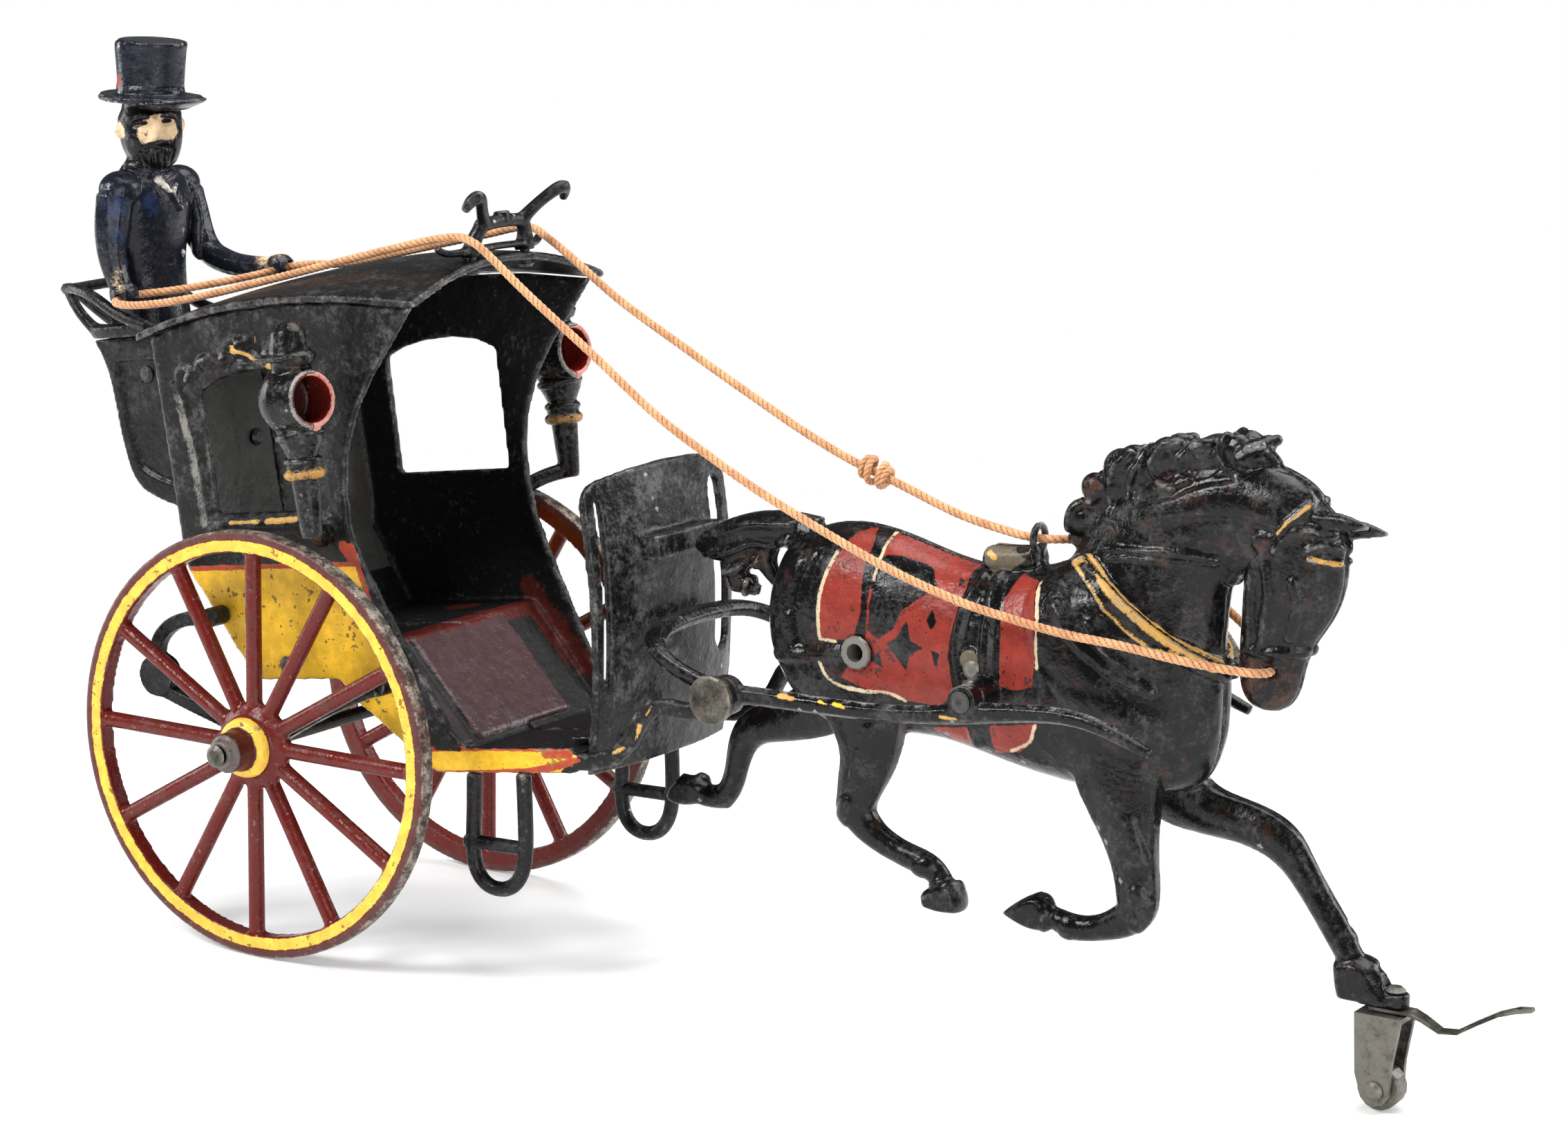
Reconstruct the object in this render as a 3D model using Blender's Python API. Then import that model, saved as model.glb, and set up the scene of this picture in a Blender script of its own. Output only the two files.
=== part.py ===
"""Cast iron hansom cab pull toy: a two-wheeled cab with its driver, a horse in the shafts and a small wheel.

Run in Blender 4.5: blender --background --python part.py
+X is forward, +Z is up and the near side, which is the horse's right, is at -Y.
Sizes below are millimetres and degrees; publish() turns the finished pieces to metres.
The cab has its own frame: its origin is the middle of the axle and it is pitched nose up, and its points
are written (forward, across, up). The horse's points are written as they were measured on the standing toy,
from the ground under the axle, and DATUM is the shaft pivot in that measure.
"""
import math

import bmesh
import bpy
from mathutils import Matrix, Vector

MM = 0.001

# Fits
SEAM_GAP = 0.3
RUNNING_GAP = 0.3

# Wheels and axle
WHEEL_RADIUS = 46.0
WHEEL_WIDTH = 4.0
RIM_DEPTH = 4.6
WHEEL_SIDES = 36
SPOKES = 12
SPOKE_WIDTH = 2.7
HALF_TRACK = 41.6
HUB_RADIUS = 8.2
HUB_NOSE_RADIUS = 5.3
HUB_NOSE_LENGTH = 4.4
HUB_CAP_RADIUS = 3.1
HUB_CAP_LENGTH = 6.2
HUB_BACK = 0.9
AXLE_RADIUS = 1.5
AXLE_HEAD_RADIUS = 2.4
AXLE_HEAD_LENGTH = 1.0

# Cab body
CAB_PITCH = 8.0
CAB_HALF_WIDTH = 33.0
FLOOR_HALF_WIDTH = 28.0
WALL = 2.0
BELT = 45.0
SILL = 48.5
YELLOW_TOP = 37.2
LOWER_EDGE = 11.8
SILL_TOP = -3.2
SEAT_HEIGHT = 19.0
FLOOR_TOP = -4.6
FLOOR_THICKNESS = 2.0
FLOOR_BOTTOM = -8.6
FLOOR_FRONT = 72.5
BACK_TOP = -23.4
BACK_BELT = -21.4

# Roof: forward place, edge height and crown height of each station
ROOF_STATIONS = ((-26.5, 88.2, 90.6), (-16.0, 91.0, 93.4), (-4.0, 93.0, 96.0), (12.0, 94.0, 98.2),
                 (30.0, 93.2, 99.3), (42.0, 91.6, 98.4), (50.0, 90.6, 97.5))
ROOF_CURVE = 2.0
ROOF_LIP = 1.3
ROOF_THICKNESS = 1.8

# Dash
DASH_HALF_WIDTH = 26.0
DASH_TOP = 52.5
DASH_BOTTOM = -9.6
DASH_THICKNESS = 1.8
DASH_BULGE = 3.5
DASH_SLOT_LOW = 9.0
DASH_SLOT_HIGH = 47.0
DASH_SLOTS = ((-22.4, 1.8), (19.2, 6.5))  # across from the middle, width; the near one is a slit in the photo
LUG_FRONT = 89.2
LUG_HEIGHT = 35.5
LUG_DEPTH = 5.0
LUG_HALF_WIDTH = 13.0

# Springs, steps and lamps
SPRING_PLACE = 36.5
SPRING_WIDTH = 3.2
SPRING_DISC_RADIUS = 4.6
SPRING_EYE_RADIUS = 4.4
STEP_RADIUS = 1.4
LAMP_PLACE = 46.0
LAMP_FORWARD = 26.0
LAMP_HEIGHT = 73.0
LAMP_RADIUS = 7.4
LAMP_WALL = 1.3
LAMP_TURN_NEAR = 12.0
LAMP_TURN_FAR = 3.0

# Driver's perch
PERCH_HALF_WIDTH = 10.4
PERCH_WALL = 1.7
PERCH_RIM = 86.0
PERCH_RECESS = 0.8
RAIL_RADIUS = 1.4
DRIVER_PIN = (-46.2, 77.6)

# Rivets of the cab
RIVET_RADIUS = 1.1
RIVET_HEAD = 1.9
RIVET_HEAD_HEIGHT = 0.8
TIE_RADIUS = 1.2
TIE_PLACE = (2.0, 15.0)
PERCH_RIVET = (62.0, 6.0)
DASH_RIVET = (68.5, 12.0)
GUIDE_FORWARD = 47.2
GUIDE_FOOT = 9.5
GUIDE_BLIND = 2.2
DASH_FOOT_THICKNESS = 1.5

# Shaft pivot in the cab's frame, and the pieces on it
PIVOT = (109.0, 6.9)
PIN_RADIUS = 1.6
PIN_HEAD_RADIUS = 5.0
PIN_HEAD = 1.5
ARM_EYE_RADIUS = 4.5
ARM_WIDTH = 2.6
ARM_PLACE = 27.0
SHAFT_EYE_RADIUS = 4.2
SHAFT_EYE_WIDTH = 3.2
SHAFT_HALF_GAP = 22.0
EYE_PLACE = ARM_PLACE - ARM_WIDTH / 2.0 - SEAM_GAP - SHAFT_EYE_WIDTH / 2.0
SHAFT_HALF_WIDTH = 1.9

# Horse, measured from the ground under the axle
DATUM = (107.0, 68.0)
TUG_RIVET = (161.0, 74.0)
TUG_RIVET_RADIUS = 1.2
BODY_RIVET = (157.5, 78.0)
BODY_RIVET_RADIUS = 1.3
BODY_HALF_WIDTH = 12.9
FLANK_HALF_WIDTH = 12.6
FLANK_HOLE = (130.8, 77.9)
FLANK_HOLE_RADIUS = 1.9
EYELET_WALL = 0.8
FAR_EAR_DROP = 2.6
TERRET = (164.4, 103.0)
TERRET_RADIUS = 2.6
TERRET_WIRE = 0.9

# Front running gear
HOOF_SOLE = 20.6
HOOF_RIVET = (242.0, 3.5)
HOOF_RIVET_RADIUS = 1.2
TOE_THICKNESS = 2.6
HOOVES = (  # outline from heel to heel, middle and half width: near hind, near fore, far hind and far fore
    (((145.0, 30.0), (145.6, 27.4), (149.7, 26.6), (154.1, 27.1), (154.7, 29.0), (152.7, 33.4), (148.4, 31.8)),
     -8.4, 3.7),
    (((163.4, 29.0), (169.3, 26.4), (173.2, 26.6), (174.6, 30.0), (173.6, 33.2), (171.4, 34.5), (167.2, 32.3)),
     -8.4, 3.4),
    (((79.9, 41.2), (75.5, 39.2), (72.9, 37.2), (72.7, 35.2), (75.2, 33.8), (79.6, 34.4), (82.4, 37.0),
      (82.2, 39.8)), 8.1, 3.3),
    (((229.2, 27.4), (229.7, 22.8), (230.6, HOOF_SOLE - 0.7), (241.2, HOOF_SOLE - 0.7), (240.9, 22.8),
      (237.4, 28.2), (233.4, 28.8)), 3.7, 3.4),
)
TONGUE_THICKNESS = 0.8
TONGUE_WIDTH = 4.4
CLEVIS_PLATE = 1.2
CLEVIS_HALF_WIDTH = 4.0
CLEVIS_LENGTH = 9.6
FRONT_WHEEL_RADIUS = 4.3
FRONT_WHEEL_WIDTH = 4.4
FRONT_TRAIL = 1.8
WHEEL_RIVET_RADIUS = 1.1

# Reins: the route's heights are over the ground of a toy whose axle is at ROUTE_AXLE
CORD_DIAMETER = 1.8
CORD_STEP = 10.5
BIT_HOLE = (216.8, 83.8)
ROUTE_AXLE = 46.0
REIN_ROUTE = (
    (216.8, -0.4, 83.8), (216.8, -3.0, 83.8), (216.6, -5.8, 83.8), (214.4, -8.6, 84.1), (209.6, -11.2, 84.8),
    (202.0, -14.8, 86.2), (191.4, -17.4, 88.0), (180.0, -17.9, 88.8), (168.0, -18.0, 90.4),
    (156.0, -18.1, 92.6),
    (138.4, -18.3, 97.9), (114.0, -18.1, 107.6), (98.5, -17.9, 115.0), (85.3, -17.6, 122.1),
    (70.2, -17.3, 132.4),
    (53.0, -16.9, 143.8), (42.5, -16.8, 151.4), (38.5, -16.6, 153.5), (34.6, -16.5, 154.2),
    (27.4, -16.6, 153.0),
    (16.9, -17.1, 150.3), (6.2, -17.6, 147.4), (-4.7, -18.0, 144.3), (-16.6, -18.4, 141.0),
    (-30.0, -18.6, 137.4),
    (-41.4, -18.8, 134.8), (-51.6, -18.8, 133.2), (-58.4, -17.4, 133.0), (-60.2, -13.2, 133.6),
    (-58.2, -9.0, 134.2),
    (-52.0, -4.6, 135.2), (-44.0, 1.6, 137.0), (-38.4, 7.6, 138.6), (-34.6, 12.2, 140.0),
    (-29.0, 13.6, 141.0),
    (-19.6, 14.6, 141.8), (-6.0, 14.8, 144.9), (5.8, 14.9, 147.8), (19.0, 15.4, 151.0), (26.0, 15.8, 152.8),
    (30.4, 15.9, 153.2), (34.4, 14.8, 152.0), (42.4, 12.4, 148.6), (57.0, 10.8, 140.1), (76.3, 8.6, 131.1),
    (95.1, 6.2, 122.8), (107.9, 4.6, 117.4), (119.4, 3.2, 113.3), (130.7, 2.0, 110.1), (146.0, 0.6, 105.6),
    (158.4, 0.0, 103.4), (163.0, 0.0, 103.0), (166.0, 0.3, 102.9), (169.4, 3.2, 102.8), (173.0, 9.0, 102.2),
    (178.0, 14.2, 99.8), (186.0, 17.4, 96.0), (194.0, 17.4, 92.0), (202.6, 14.6, 87.6), (209.6, 11.2, 85.0),
    (214.4, 8.6, 84.1), (216.6, 5.8, 83.8), (216.8, 3.0, 83.8), (216.8, 0.4, 83.8),
)
KNOT_PLACE = (125.2, 2.6, 111.8)


def clear_scene():
    """Remove what the file opened with."""
    for thing in list(bpy.data.objects):
        bpy.data.objects.remove(thing, do_unlink=True)


def material(name, colour, roughness, metallic=0.0):
    """A painted or bare finish."""
    made = bpy.data.materials.new(name)
    made.use_nodes = True
    shader = made.node_tree.nodes["Principled BSDF"]
    shader.inputs["Base Color"].default_value = (*colour, 1.0)
    shader.inputs["Roughness"].default_value = roughness
    shader.inputs["Metallic"].default_value = metallic
    made.diffuse_color = (*colour, 1.0)
    return made


def frame(name, parent, place, pitch=0.0):
    """An empty that carries pieces; place is in the parent's millimetres."""
    carrier = bpy.data.objects.new(name, None)
    bpy.context.scene.collection.objects.link(carrier)
    carrier.parent = parent
    carrier.location = Vector(place) * MM
    carrier.rotation_euler = (0.0, math.radians(-pitch), 0.0)
    return carrier


def publish(name, mesh, finish, carrier, place=(0.0, 0.0, 0.0)):
    """Make the named object from a bmesh in millimetres, with its origin at place in its carrier."""
    bmesh.ops.transform(mesh, matrix=Matrix.Diagonal((MM, MM, MM, 1.0)), verts=mesh.verts)
    data = bpy.data.meshes.new(name)
    mesh.to_mesh(data)
    mesh.free()
    data.materials.append(finish)
    data.shade_smooth()
    data.set_sharp_from_angle(angle=math.radians(32.0))
    piece = bpy.data.objects.new(name, data)
    bpy.context.scene.collection.objects.link(piece)
    piece.parent = carrier
    piece.location = Vector(place) * MM
    return piece


def from_faces(points, faces):
    """A closed mesh with its faces turned outwards."""
    mesh = bmesh.new()
    verts = [mesh.verts.new(point) for point in points]
    for face in faces:
        mesh.faces.new([verts[index] for index in face])
    bmesh.ops.recalc_face_normals(mesh, faces=mesh.faces)
    return mesh


def loft(rings):
    """Skin equal rings of points in order and cap both ends."""
    count = len(rings[0])
    points = [point for ring in rings for point in ring]
    faces = [tuple(range(count)), tuple(range(len(points) - count, len(points)))]
    for layer in range(len(rings) - 1):
        low = layer * count
        for index in range(count):
            following = (index + 1) % count
            faces.append((low + index, low + following, low + count + following, low + count + index))
    return from_faces(points, faces)


def loft_loop(rings):
    """Skin equal rings of points and join the last ring to the first."""
    count = len(rings[0])
    points = [point for ring in rings for point in ring]
    total = len(points)
    faces = []
    for layer in range(len(rings)):
        low = layer * count
        for index in range(count):
            following = (index + 1) % count
            faces.append((low + index, low + following, (low + count + following) % total,
                          (low + count + index) % total))
    return from_faces(points, faces)


def oval(centre, side, up, half_side, half_up, sides, power=2.0):
    """A ring round centre; a power above 2 squares it up."""
    ring = []
    for index in range(sides):
        turn = 2.0 * math.pi * (index + 0.5) / sides
        across = math.copysign(abs(math.cos(turn)) ** (2.0 / power), math.cos(turn))
        along = math.copysign(abs(math.sin(turn)) ** (2.0 / power), math.sin(turn))
        ring.append(centre + side * (half_side * across) + up * (half_up * along))
    return ring


def on_curve(rows, index, t):
    """The point a share t along the smooth curve between row index and the next."""
    start = rows[index]
    end = rows[index + 1]
    slope_in = (end - rows[max(index - 1, 0)]) * 0.5
    slope_out = (rows[min(index + 2, len(rows) - 1)] - start) * 0.5
    return (start * (2 * t ** 3 - 3 * t ** 2 + 1) + slope_in * (t ** 3 - 2 * t ** 2 + t)
            + end * (3 * t ** 2 - 2 * t ** 3) + slope_out * (t ** 3 - t ** 2))


def smooth(stations, steps):
    """Points on a smooth curve through the stations, each a tuple of numbers, with steps between each pair."""
    rows = [Vector(station) for station in stations]
    curve = [on_curve(rows, index, step / steps) for index in range(len(rows) - 1) for step in range(steps)]
    return [tuple(row) for row in curve] + [tuple(rows[-1])]


def sweep(path, sizes, side_hint, sides=8, power=2.0):
    """A closed tube along path; sizes holds (half width along side_hint, half depth) at each point."""
    centres = [Vector(point) for point in path]
    rings = []
    for index, centre in enumerate(centres):
        ahead = centres[min(index + 1, len(centres) - 1)]
        behind = centres[max(index - 1, 0)]
        tangent = (ahead - behind).normalized()
        side = Vector(side_hint)
        side = (side - tangent * side.dot(tangent)).normalized()
        up = tangent.cross(side)
        rings.append(oval(centre, side, up, sizes[index][0], sizes[index][1], sides, power))
    return loft(rings)


def rod(path, radius, side_hint=(0.0, 1.0, 0.0), sides=8, steps=0):
    """A round bar of one radius, or of a radius for each point."""
    radii = radius if isinstance(radius, (list, tuple)) else [radius] * len(path)
    stations = [(*point, size) for point, size in zip(path, radii)]
    if steps:
        stations = smooth_wide(stations, steps)
    return sweep([station[:3] for station in stations], [(station[3], station[3]) for station in stations],
                 side_hint, sides)


def smooth_wide(stations, steps):
    """Smooth stations that have more than four numbers, a few columns at a time."""
    columns = len(stations[0])
    parts = []
    for first in range(0, columns, 2):
        last = min(first + 2, columns)
        block_rows = [tuple(station[first:last]) + (0.0,) * (3 - (last - first)) for station in stations]
        parts.append([row[:last - first] for row in smooth(block_rows, steps)])
    return [sum(rows, ()) for rows in zip(*parts)]


def limb(stations, steps=2, sides=10, power=2.0):
    """A lofted form in the (x, z) plane; each station is (x, y, z, half depth, half width)."""
    rows = smooth_wide([tuple(map(float, station)) for station in stations], steps)
    return sweep([row[:3] for row in rows], [(row[4], row[3]) for row in rows], (0.0, 1.0, 0.0), sides, power)


def turned(profile, axis, sides, centre=(0.0, 0.0, 0.0), loop=False):
    """Turn (radius, height) points about an axis; radius 0 at an end is a pole, and loop closes a ring."""
    origin = Vector(centre)
    along = {"X": Vector((1, 0, 0)), "Y": Vector((0, 1, 0)), "Z": Vector((0, 0, 1))}[axis]
    first = {"X": Vector((0, 1, 0)), "Y": Vector((0, 0, 1)), "Z": Vector((1, 0, 0))}[axis]
    second = along.cross(first)
    mesh = bmesh.new()
    rings = []
    for radius, height in profile:
        spots = 1 if radius == 0.0 else sides
        ring = []
        for index in range(spots):
            turn = 2.0 * math.pi * (index + 0.5) / sides
            spoke = first * math.cos(turn) + second * math.sin(turn)
            ring.append(mesh.verts.new(origin + along * height + spoke * radius))
        rings.append(ring)
    pairs = list(zip(rings, rings[1:]))
    if loop:
        pairs.append((rings[-1], rings[0]))
    for low, high in pairs:
        for index in range(sides):
            following = (index + 1) % sides
            corners = [low[index % len(low)], low[following % len(low)],
                       high[following % len(high)], high[index % len(high)]]
            apart = []
            for corner in corners:
                if corner not in apart:
                    apart.append(corner)
            mesh.faces.new(apart)
    for ring in ([] if loop else [rings[0], rings[-1]]):
        if len(ring) > 1:
            mesh.faces.new(ring)
    bmesh.ops.recalc_face_normals(mesh, faces=mesh.faces)
    return mesh


def post(radius, low, high, axis, centre=(0.0, 0.0, 0.0), sides=12):
    """A plain round bar between two heights on an axis."""
    return turned(((radius, low), (radius, high)), axis, sides, centre)


def prism(outline, low, high, axis="Y"):
    """Extrude a flat outline. On Y it is (x, z), on X it is (y, z) and on Z it is (x, y)."""
    def lift(point, level):
        if axis == "Y":
            return (point[0], level, point[1])
        if axis == "X":
            return (level, point[0], point[1])
        return (point[0], point[1], level)
    return loft([[Vector(lift(point, level)) for point in outline] for level in (low, high)])


def block(low, high):
    """A box between two corners."""
    return prism(((low[0], low[2]), (high[0], low[2]), (high[0], high[2]), (low[0], high[2])), low[1],
                 high[1])


def scratch_object(mesh):
    """A throwaway object for a Boolean step."""
    data = bpy.data.meshes.new("scratch")
    mesh.to_mesh(data)
    mesh.free()
    thing = bpy.data.objects.new("scratch", data)
    bpy.context.scene.collection.objects.link(thing)
    return thing


def combine(base, tools, operation):
    """Apply one exact Boolean for each tool and return the resulting mesh."""
    body = scratch_object(base)
    operands = [scratch_object(tool) for tool in tools]
    for operand in operands:
        step = body.modifiers.new("step", "BOOLEAN")
        step.operation = operation
        step.solver = "EXACT"
        step.object = operand
    shaped = body.evaluated_get(bpy.context.evaluated_depsgraph_get())
    result = bmesh.new()
    result.from_mesh(shaped.to_mesh())
    shaped.to_mesh_clear()
    for thing in [body] + operands:
        data = thing.data
        bpy.data.objects.remove(thing, do_unlink=True)
        bpy.data.meshes.remove(data)
    bmesh.ops.remove_doubles(result, verts=result.verts, dist=0.0008)
    bmesh.ops.dissolve_degenerate(result, edges=result.edges, dist=0.0004)
    return result


def joined(*solids):
    """One body from overlapping solids."""
    return combine(solids[0], solids[1:], "UNION")


def cut(base, *tools):
    """Take the tools out of the base."""
    return combine(base, tools, "DIFFERENCE")


def kept(base, tool):
    """The part of the base inside the tool."""
    return combine(base, [tool], "INTERSECT")


def mirrored(mesh):
    """The same shape on the other side of the middle plane."""
    bmesh.ops.transform(mesh, matrix=Matrix.Diagonal((1.0, -1.0, 1.0, 1.0)), verts=mesh.verts)
    bmesh.ops.reverse_faces(mesh, faces=mesh.faces)
    return mesh


def turn_about(mesh, degrees, axis, centre):
    """Turn a mesh about an axis through centre."""
    turning = Matrix.Rotation(math.radians(degrees), 3, axis)
    bmesh.ops.rotate(mesh, verts=mesh.verts, cent=Vector(centre), matrix=turning)
    return mesh


def on_side(mesh, side):
    """Leave a near-side mesh (side -1) as it is, or move it to the far side (side 1)."""
    return mirrored(mesh) if side > 0 else mesh


def between(stations, place, column):
    """A value read from stations by straight runs between them."""
    if place <= stations[0][0]:
        return stations[0][column]
    for low, high in zip(stations, stations[1:]):
        if place <= high[0]:
            share = (place - low[0]) / (high[0] - low[0])
            return low[column] + (high[column] - low[column]) * share
    return stations[-1][column]


def half_width(height):
    """Half the body's width: straight above the belt, drawn in below it."""
    if height >= BELT:
        return CAB_HALF_WIDTH
    return CAB_HALF_WIDTH - (CAB_HALF_WIDTH - FLOOR_HALF_WIDTH) * (BELT - height) / (BELT - FLOOR_BOTTOM)


def roof_top(forward, across):
    """Height of the roof's outer face."""
    edge = between(ROOF_STATIONS, forward, 1)
    crown = between(ROOF_STATIONS, forward, 2)
    share = min(abs(across) / (CAB_HALF_WIDTH + ROOF_LIP), 1.0)
    return edge + (crown - edge) * (1.0 - share ** ROOF_CURVE)


def back_face(height):
    """Forward place of the back wall's outer face."""
    return BACK_BELT + (BACK_TOP - BACK_BELT) * (height - BELT) / (ROOF_STATIONS[0][1] - BELT)


def draw_in(mesh):
    """Move a wall whose y is a depth from the outer face out to the body's own width."""
    bmesh.ops.bisect_plane(mesh, geom=mesh.verts[:] + mesh.edges[:] + mesh.faces[:],
                           plane_co=(0, 0, BELT), plane_no=(0, 0, 1))
    for vert in mesh.verts:
        vert.co.y -= half_width(vert.co.z)
    return mesh


def side_wall():
    """The near side wall with its open window, and the floor's side band, in the cab's frame."""
    outline = [(back_face(BELT), BELT), (BACK_BELT, YELLOW_TOP), (-7.8, LOWER_EDGE), (15.0, LOWER_EDGE),
               (18.6, 7.1), (37.0, FLOOR_BOTTOM), (FLOOR_FRONT, FLOOR_BOTTOM), (FLOOR_FRONT, SILL_TOP),
               (45.6, SILL_TOP),
               (42.6, -0.4), (36.7, 13.0), (30.0, 28.5), (26.6, 37.0), (24.9, BELT), (25.0, 53.5),
               (26.6, 61.0),
               (30.0, 68.5), (35.0, 75.5), (41.0, 82.0)]
    for forward in (47.4, 42.0, 30.0, 12.0, -4.0, -16.0, BACK_TOP):
        outline.append((forward, roof_top(forward, CAB_HALF_WIDTH) - ROOF_THICKNESS - SEAM_GAP))
    wall = prism(outline, 0.0, WALL)
    window = [(-10.6, SILL), (20.2, SILL), (20.0, 75.6), (15.0, 77.7), (8.0, 78.6), (0.0, 78.2), (-6.0, 77.0),
              (-10.9, 75.0)]
    return draw_in(cut(wall, prism(window, -1.0, WALL + 1.0)))


def cross_panels():
    """The near half of the back wall, seat, kick-board and floor, from the wall to the seam."""
    run = [(back_face(BELT - 3.0), BELT - 3.0), (BACK_BELT, YELLOW_TOP), (-10.6, SEAT_HEIGHT - WALL),
           (24.0, SEAT_HEIGHT - WALL),
           (41.0, FLOOR_TOP - FLOOR_THICKNESS), (FLOOR_FRONT, FLOOR_TOP - FLOOR_THICKNESS),
           (FLOOR_FRONT, FLOOR_TOP),
           (42.2, FLOOR_TOP), (24.9, SEAT_HEIGHT), (-9.6, SEAT_HEIGHT), (BACK_BELT + WALL, YELLOW_TOP + 0.5),
           (back_face(BELT - 3.0) + WALL, BELT - 3.0)]
    panel = prism(run, -1.0, 0.0)
    for vert in panel.verts:
        outer = vert.co.y < -0.5
        vert.co.y = -(half_width(vert.co.z) - WALL / 2.0) if outer else -SEAM_GAP / 2.0
    low = BELT - 5.0
    arch = [(-(CAB_HALF_WIDTH - WALL / 2.0), low)]
    for step in range(9):
        across = (CAB_HALF_WIDTH - WALL / 2.0) * (1.0 - step / 8.0) + SEAM_GAP / 2.0 * (step / 8.0)
        arch.append((-across, roof_top(BACK_TOP, across) - ROOF_THICKNESS - SEAM_GAP))
    arch.append((-SEAM_GAP / 2.0, low))
    back = prism(arch, 0.0, WALL, axis="X")
    for vert in back.verts:
        inner = vert.co.x > WALL / 2.0
        vert.co.x = back_face(vert.co.z) + (WALL if inner else 0.0) + 0.05
    return [panel, back]


def shaft_arm():
    """The curved arm from the floor to the eye under the pivot disc."""
    ahead, above = PIVOT
    run = ((62.0, -5.9), (70.0, -6.2), (76.5, -6.3), (82.5, -5.2), (86.8, -2.0),
           (ahead - 19.0, above - 4.5), (ahead - 15.4, above - 1.7), (ahead - 11.4, above - 1.9),
           (ahead - 7.4, above - 2.7), (ahead - 3.0, above - 2.3))
    path = [(forward, -ARM_PLACE, up) for forward, up in run]
    arm = sweep(path, [(ARM_WIDTH / 2.0, 1.9)] * len(path), (0.0, 1.0, 0.0), 8, 4.0)
    eye = post(ARM_EYE_RADIUS, -ARM_PLACE - ARM_WIDTH / 2.0, -ARM_PLACE + ARM_WIDTH / 2.0, "Y",
               (PIVOT[0], 0.0, PIVOT[1]), 16)
    return [arm, eye]


def bosses():
    """Raised knobs over the window arch, and the ledge below it."""
    made = []
    for forward, up, radius in ((-13.5, 78.0, 1.5), (-8.6, 80.6, 1.5), (-3.2, 82.6, 1.6), (2.6, 84.0, 2.2),
                                (9.0, 82.8, 1.6), (15.0, 81.6, 1.5)):
        made.append(turned(((0.0, -1.3), (radius * 0.7, -1.0), (radius, 0.4)), "Y", 8,
                           (forward, -CAB_HALF_WIDTH, up)))
    made.append(block((-12.5, -CAB_HALF_WIDTH - 1.2, SILL - 3.4), (21.0, -CAB_HALF_WIDTH + 0.4, SILL - 1.4)))
    return made


def body_half(side):
    """One cast half of the cab body: side -1 is the near half."""
    solids = [side_wall()] + cross_panels() + shaft_arm() + bosses()
    half = joined(*solids)
    holes = [post(PIN_RADIUS + SEAM_GAP, -60.0, 0.0, "Y", (PIVOT[0], 0.0, PIVOT[1]), 16),
             post(TIE_RADIUS + SEAM_GAP, -60.0, 1.0, "Y", (TIE_PLACE[0], 0.0, TIE_PLACE[1]), 12)]
    behind = back_face(PERCH_RIVET[0])
    holes.append(post(RIVET_RADIUS + SEAM_GAP, behind - 8.0, behind + 8.0, "X",
                      (0.0, -PERCH_RIVET[1], PERCH_RIVET[0]), 10))
    holes.append(post(RIVET_RADIUS + SEAM_GAP, FLOOR_TOP - 6.0, FLOOR_TOP + 4.0, "Z",
                      (DASH_RIVET[0], -DASH_RIVET[1], 0.0), 10))
    return on_side(cut(half, *holes), side)


def roof():
    """The arched roof casting."""
    half = CAB_HALF_WIDTH + ROOF_LIP
    rings = []
    for forward, edge, crown in smooth(ROOF_STATIONS, 1):
        outer = []
        inner = []
        for step in range(13):
            across = half * (step / 6.0 - 1.0)
            height = edge + (crown - edge) * (1.0 - min(abs(across) / half, 1.0) ** ROOF_CURVE)
            outer.append(Vector((forward, across, height)))
            inner.append(Vector((forward, across, height - ROOF_THICKNESS)))
        rings.append(outer + inner[::-1])
    shell = loft(rings)
    holes = [post(RIVET_RADIUS + SEAM_GAP, 80.0, 110.0, "Z", (GUIDE_FORWARD, side * GUIDE_FOOT, 0.0), 10)
             for side in (-1, 1)]
    return cut(shell, *holes)


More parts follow.
